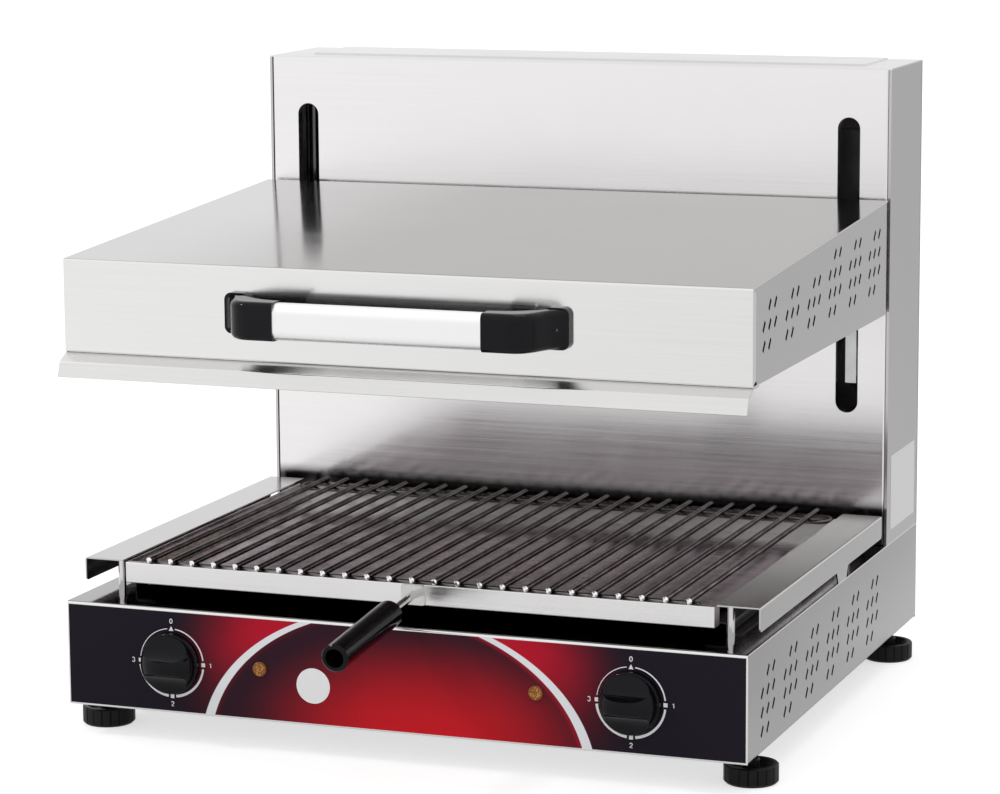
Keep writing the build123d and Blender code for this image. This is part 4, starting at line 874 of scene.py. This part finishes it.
def set_camera():
    forward = Vector(
        (
            -math.sin(CAMERA_YAW) * math.cos(CAMERA_PITCH),
            math.cos(CAMERA_YAW) * math.cos(CAMERA_PITCH),
            -math.sin(CAMERA_PITCH),
        )
    )
    level = Vector((math.cos(CAMERA_YAW), math.sin(CAMERA_YAW), 0.0))
    upright = level.cross(forward)
    right = math.cos(CAMERA_ROLL) * level + math.sin(CAMERA_ROLL) * upright
    up = -math.sin(CAMERA_ROLL) * level + math.cos(CAMERA_ROLL) * upright
    data = bpy.data.cameras.new("camera")
    data.sensor_width = SENSOR_MM
    data.lens = FOCAL_PIXELS * SENSOR_MM / PIXELS_WIDE
    data.clip_start = 0.05
    data.clip_end = 100.0
    camera = bpy.data.objects.new("camera", data)
    bpy.context.scene.collection.objects.link(camera)
    turn = Matrix((right, up, -forward)).transposed()
    offset = Vector((0.0, front_y, base_z))
    camera.matrix_world = Matrix.Translation(Vector(CAMERA_FROM_BASE) + offset) @ turn.to_4x4()
    bpy.context.scene.camera = camera


set_camera()


# ---------------------------------------------------------------- stage and light
def plane(name, corners, material):
    mesh = bpy.data.meshes.new(name)
    mesh.from_pydata(corners, [], [tuple(range(len(corners)))])
    mesh.materials.append(material)
    obj = bpy.data.objects.new(name, mesh)
    bpy.context.scene.collection.objects.link(obj)


FLOOR_SEEN = 0.6
FLOOR_IN_METAL = 0.38
FLOOR_TONE_FROM_TO = (0.595, 0.605)
WORLD_LIGHT = 0.92


def floor_material():
    """White floor that keeps soft shadows. Metal sees it greyer to the right and behind the object, a
    painted reflection.
    """
    tree = Tree("floor")
    tree.nodes.remove(tree.shader)
    out = tree.nodes["Material Output"]
    path = tree.add("ShaderNodeLightPath")
    place = split(tree, tree.object_place)
    # painted reflection: the floor is greyer in metal's reflections, to the right, behind and from left to
    # right
    aside_reflection_shade = tree.math("MULTIPLY", tree.span(place[0], 0.30, 0.48), tree.span(place[1], -0.25, 0.1))
    left_to_right_reflection_shade = tree.span(place[0], -1.4, -0.3, 0.0, 0.12, smooth=False)
    grey = tree.math("ADD", tree.math("MULTIPLY", aside_reflection_shade, 0.26), left_to_right_reflection_shade)
    keep = tree.math("SUBTRACT", 1.0, tree.math("MULTIPLY", grey, path.outputs["Is Glossy Ray"]))
    mottle = tree.span(tree.noise(3.0, 2.0), 0.3, 0.7, *FLOOR_TONE_FROM_TO)
    shade = tree.math("MULTIPLY", mottle, keep)
    combine = tree.add("ShaderNodeCombineColor")
    for socket in combine.inputs:
        tree.put(socket, shade)
    diffuse = tree.add("ShaderNodeBsdfDiffuse")
    tree.put(diffuse.inputs["Color"], combine.outputs[0])
    seen = tree.math("MULTIPLY", path.outputs["Is Camera Ray"], FLOOR_SEEN)
    glossy, clear = path.outputs["Is Glossy Ray"], path.outputs["Is Transmission Ray"]
    indirect = tree.math("MAXIMUM", glossy, clear)
    in_metal = tree.math("MULTIPLY", tree.math("MULTIPLY", indirect, FLOOR_IN_METAL), keep)
    lift = tree.add("ShaderNodeEmission")
    tree.put(lift.inputs["Strength"], tree.math("ADD", seen, in_metal))
    both = tree.add("ShaderNodeAddShader")
    tree.put(both.inputs[0], diffuse.outputs[0])
    tree.put(both.inputs[1], lift.outputs[0])
    tree.put(out.inputs["Surface"], both.outputs[0])
    return tree.material


FLOOR_HALF = 40.0
floor_corners = [(x * FLOOR_HALF, y * FLOOR_HALF, 0) for x, y in ((-1, -1), (1, -1), (1, 1), (-1, 1))]
plane("floor", floor_corners, floor_material())


def world_light():
    """White for what is seen directly or in metal, a plain grey level for the light it gives."""
    world = bpy.data.worlds.new("studio")
    bpy.context.scene.world = world
    world.use_nodes = True
    tree = world.node_tree
    ground = tree.nodes["Background"]
    path = tree.nodes.new("ShaderNodeLightPath")
    seen = tree.nodes.new("ShaderNodeMath")
    seen.operation = "MAXIMUM"
    tree.links.new(path.outputs["Is Camera Ray"], seen.inputs[0])
    tree.links.new(path.outputs["Is Glossy Ray"], seen.inputs[1])
    clear = tree.nodes.new("ShaderNodeMath")
    clear.operation = "MAXIMUM"
    tree.links.new(seen.outputs[0], clear.inputs[0])
    tree.links.new(path.outputs["Is Transmission Ray"], clear.inputs[1])
    level = tree.nodes.new("ShaderNodeMapRange")
    level.inputs["To Min"].default_value = WORLD_LIGHT
    level.inputs["To Max"].default_value = 1.0
    tree.links.new(clear.outputs[0], level.inputs["Value"])
    tree.links.new(level.outputs[0], ground.inputs["Strength"])
    ground.inputs["Color"].default_value = (1.0, 1.0, 1.0, 1.0)


def area(name, place, aim, size, power):
    data = bpy.data.lights.new(name, "AREA")
    data.shape = "RECTANGLE"
    data.size, data.size_y = size
    data.energy = power
    lamp = bpy.data.objects.new(name, data)
    bpy.context.scene.collection.objects.link(lamp)
    lamp.location = place
    lamp.rotation_euler = (Vector(aim) - Vector(place)).to_track_quat("-Z", "Y").to_euler()


world_light()
area("key", (-2.1, -1.3, 2.5), (0, 0, 0.25), (0.3, 0.3), 14.0)
area("top", (0.3, 0.2, 2.6), (0, 0, 0.2), (1.6, 1.2), 6.0)

bpy.context.scene.view_settings.view_transform = "Standard"
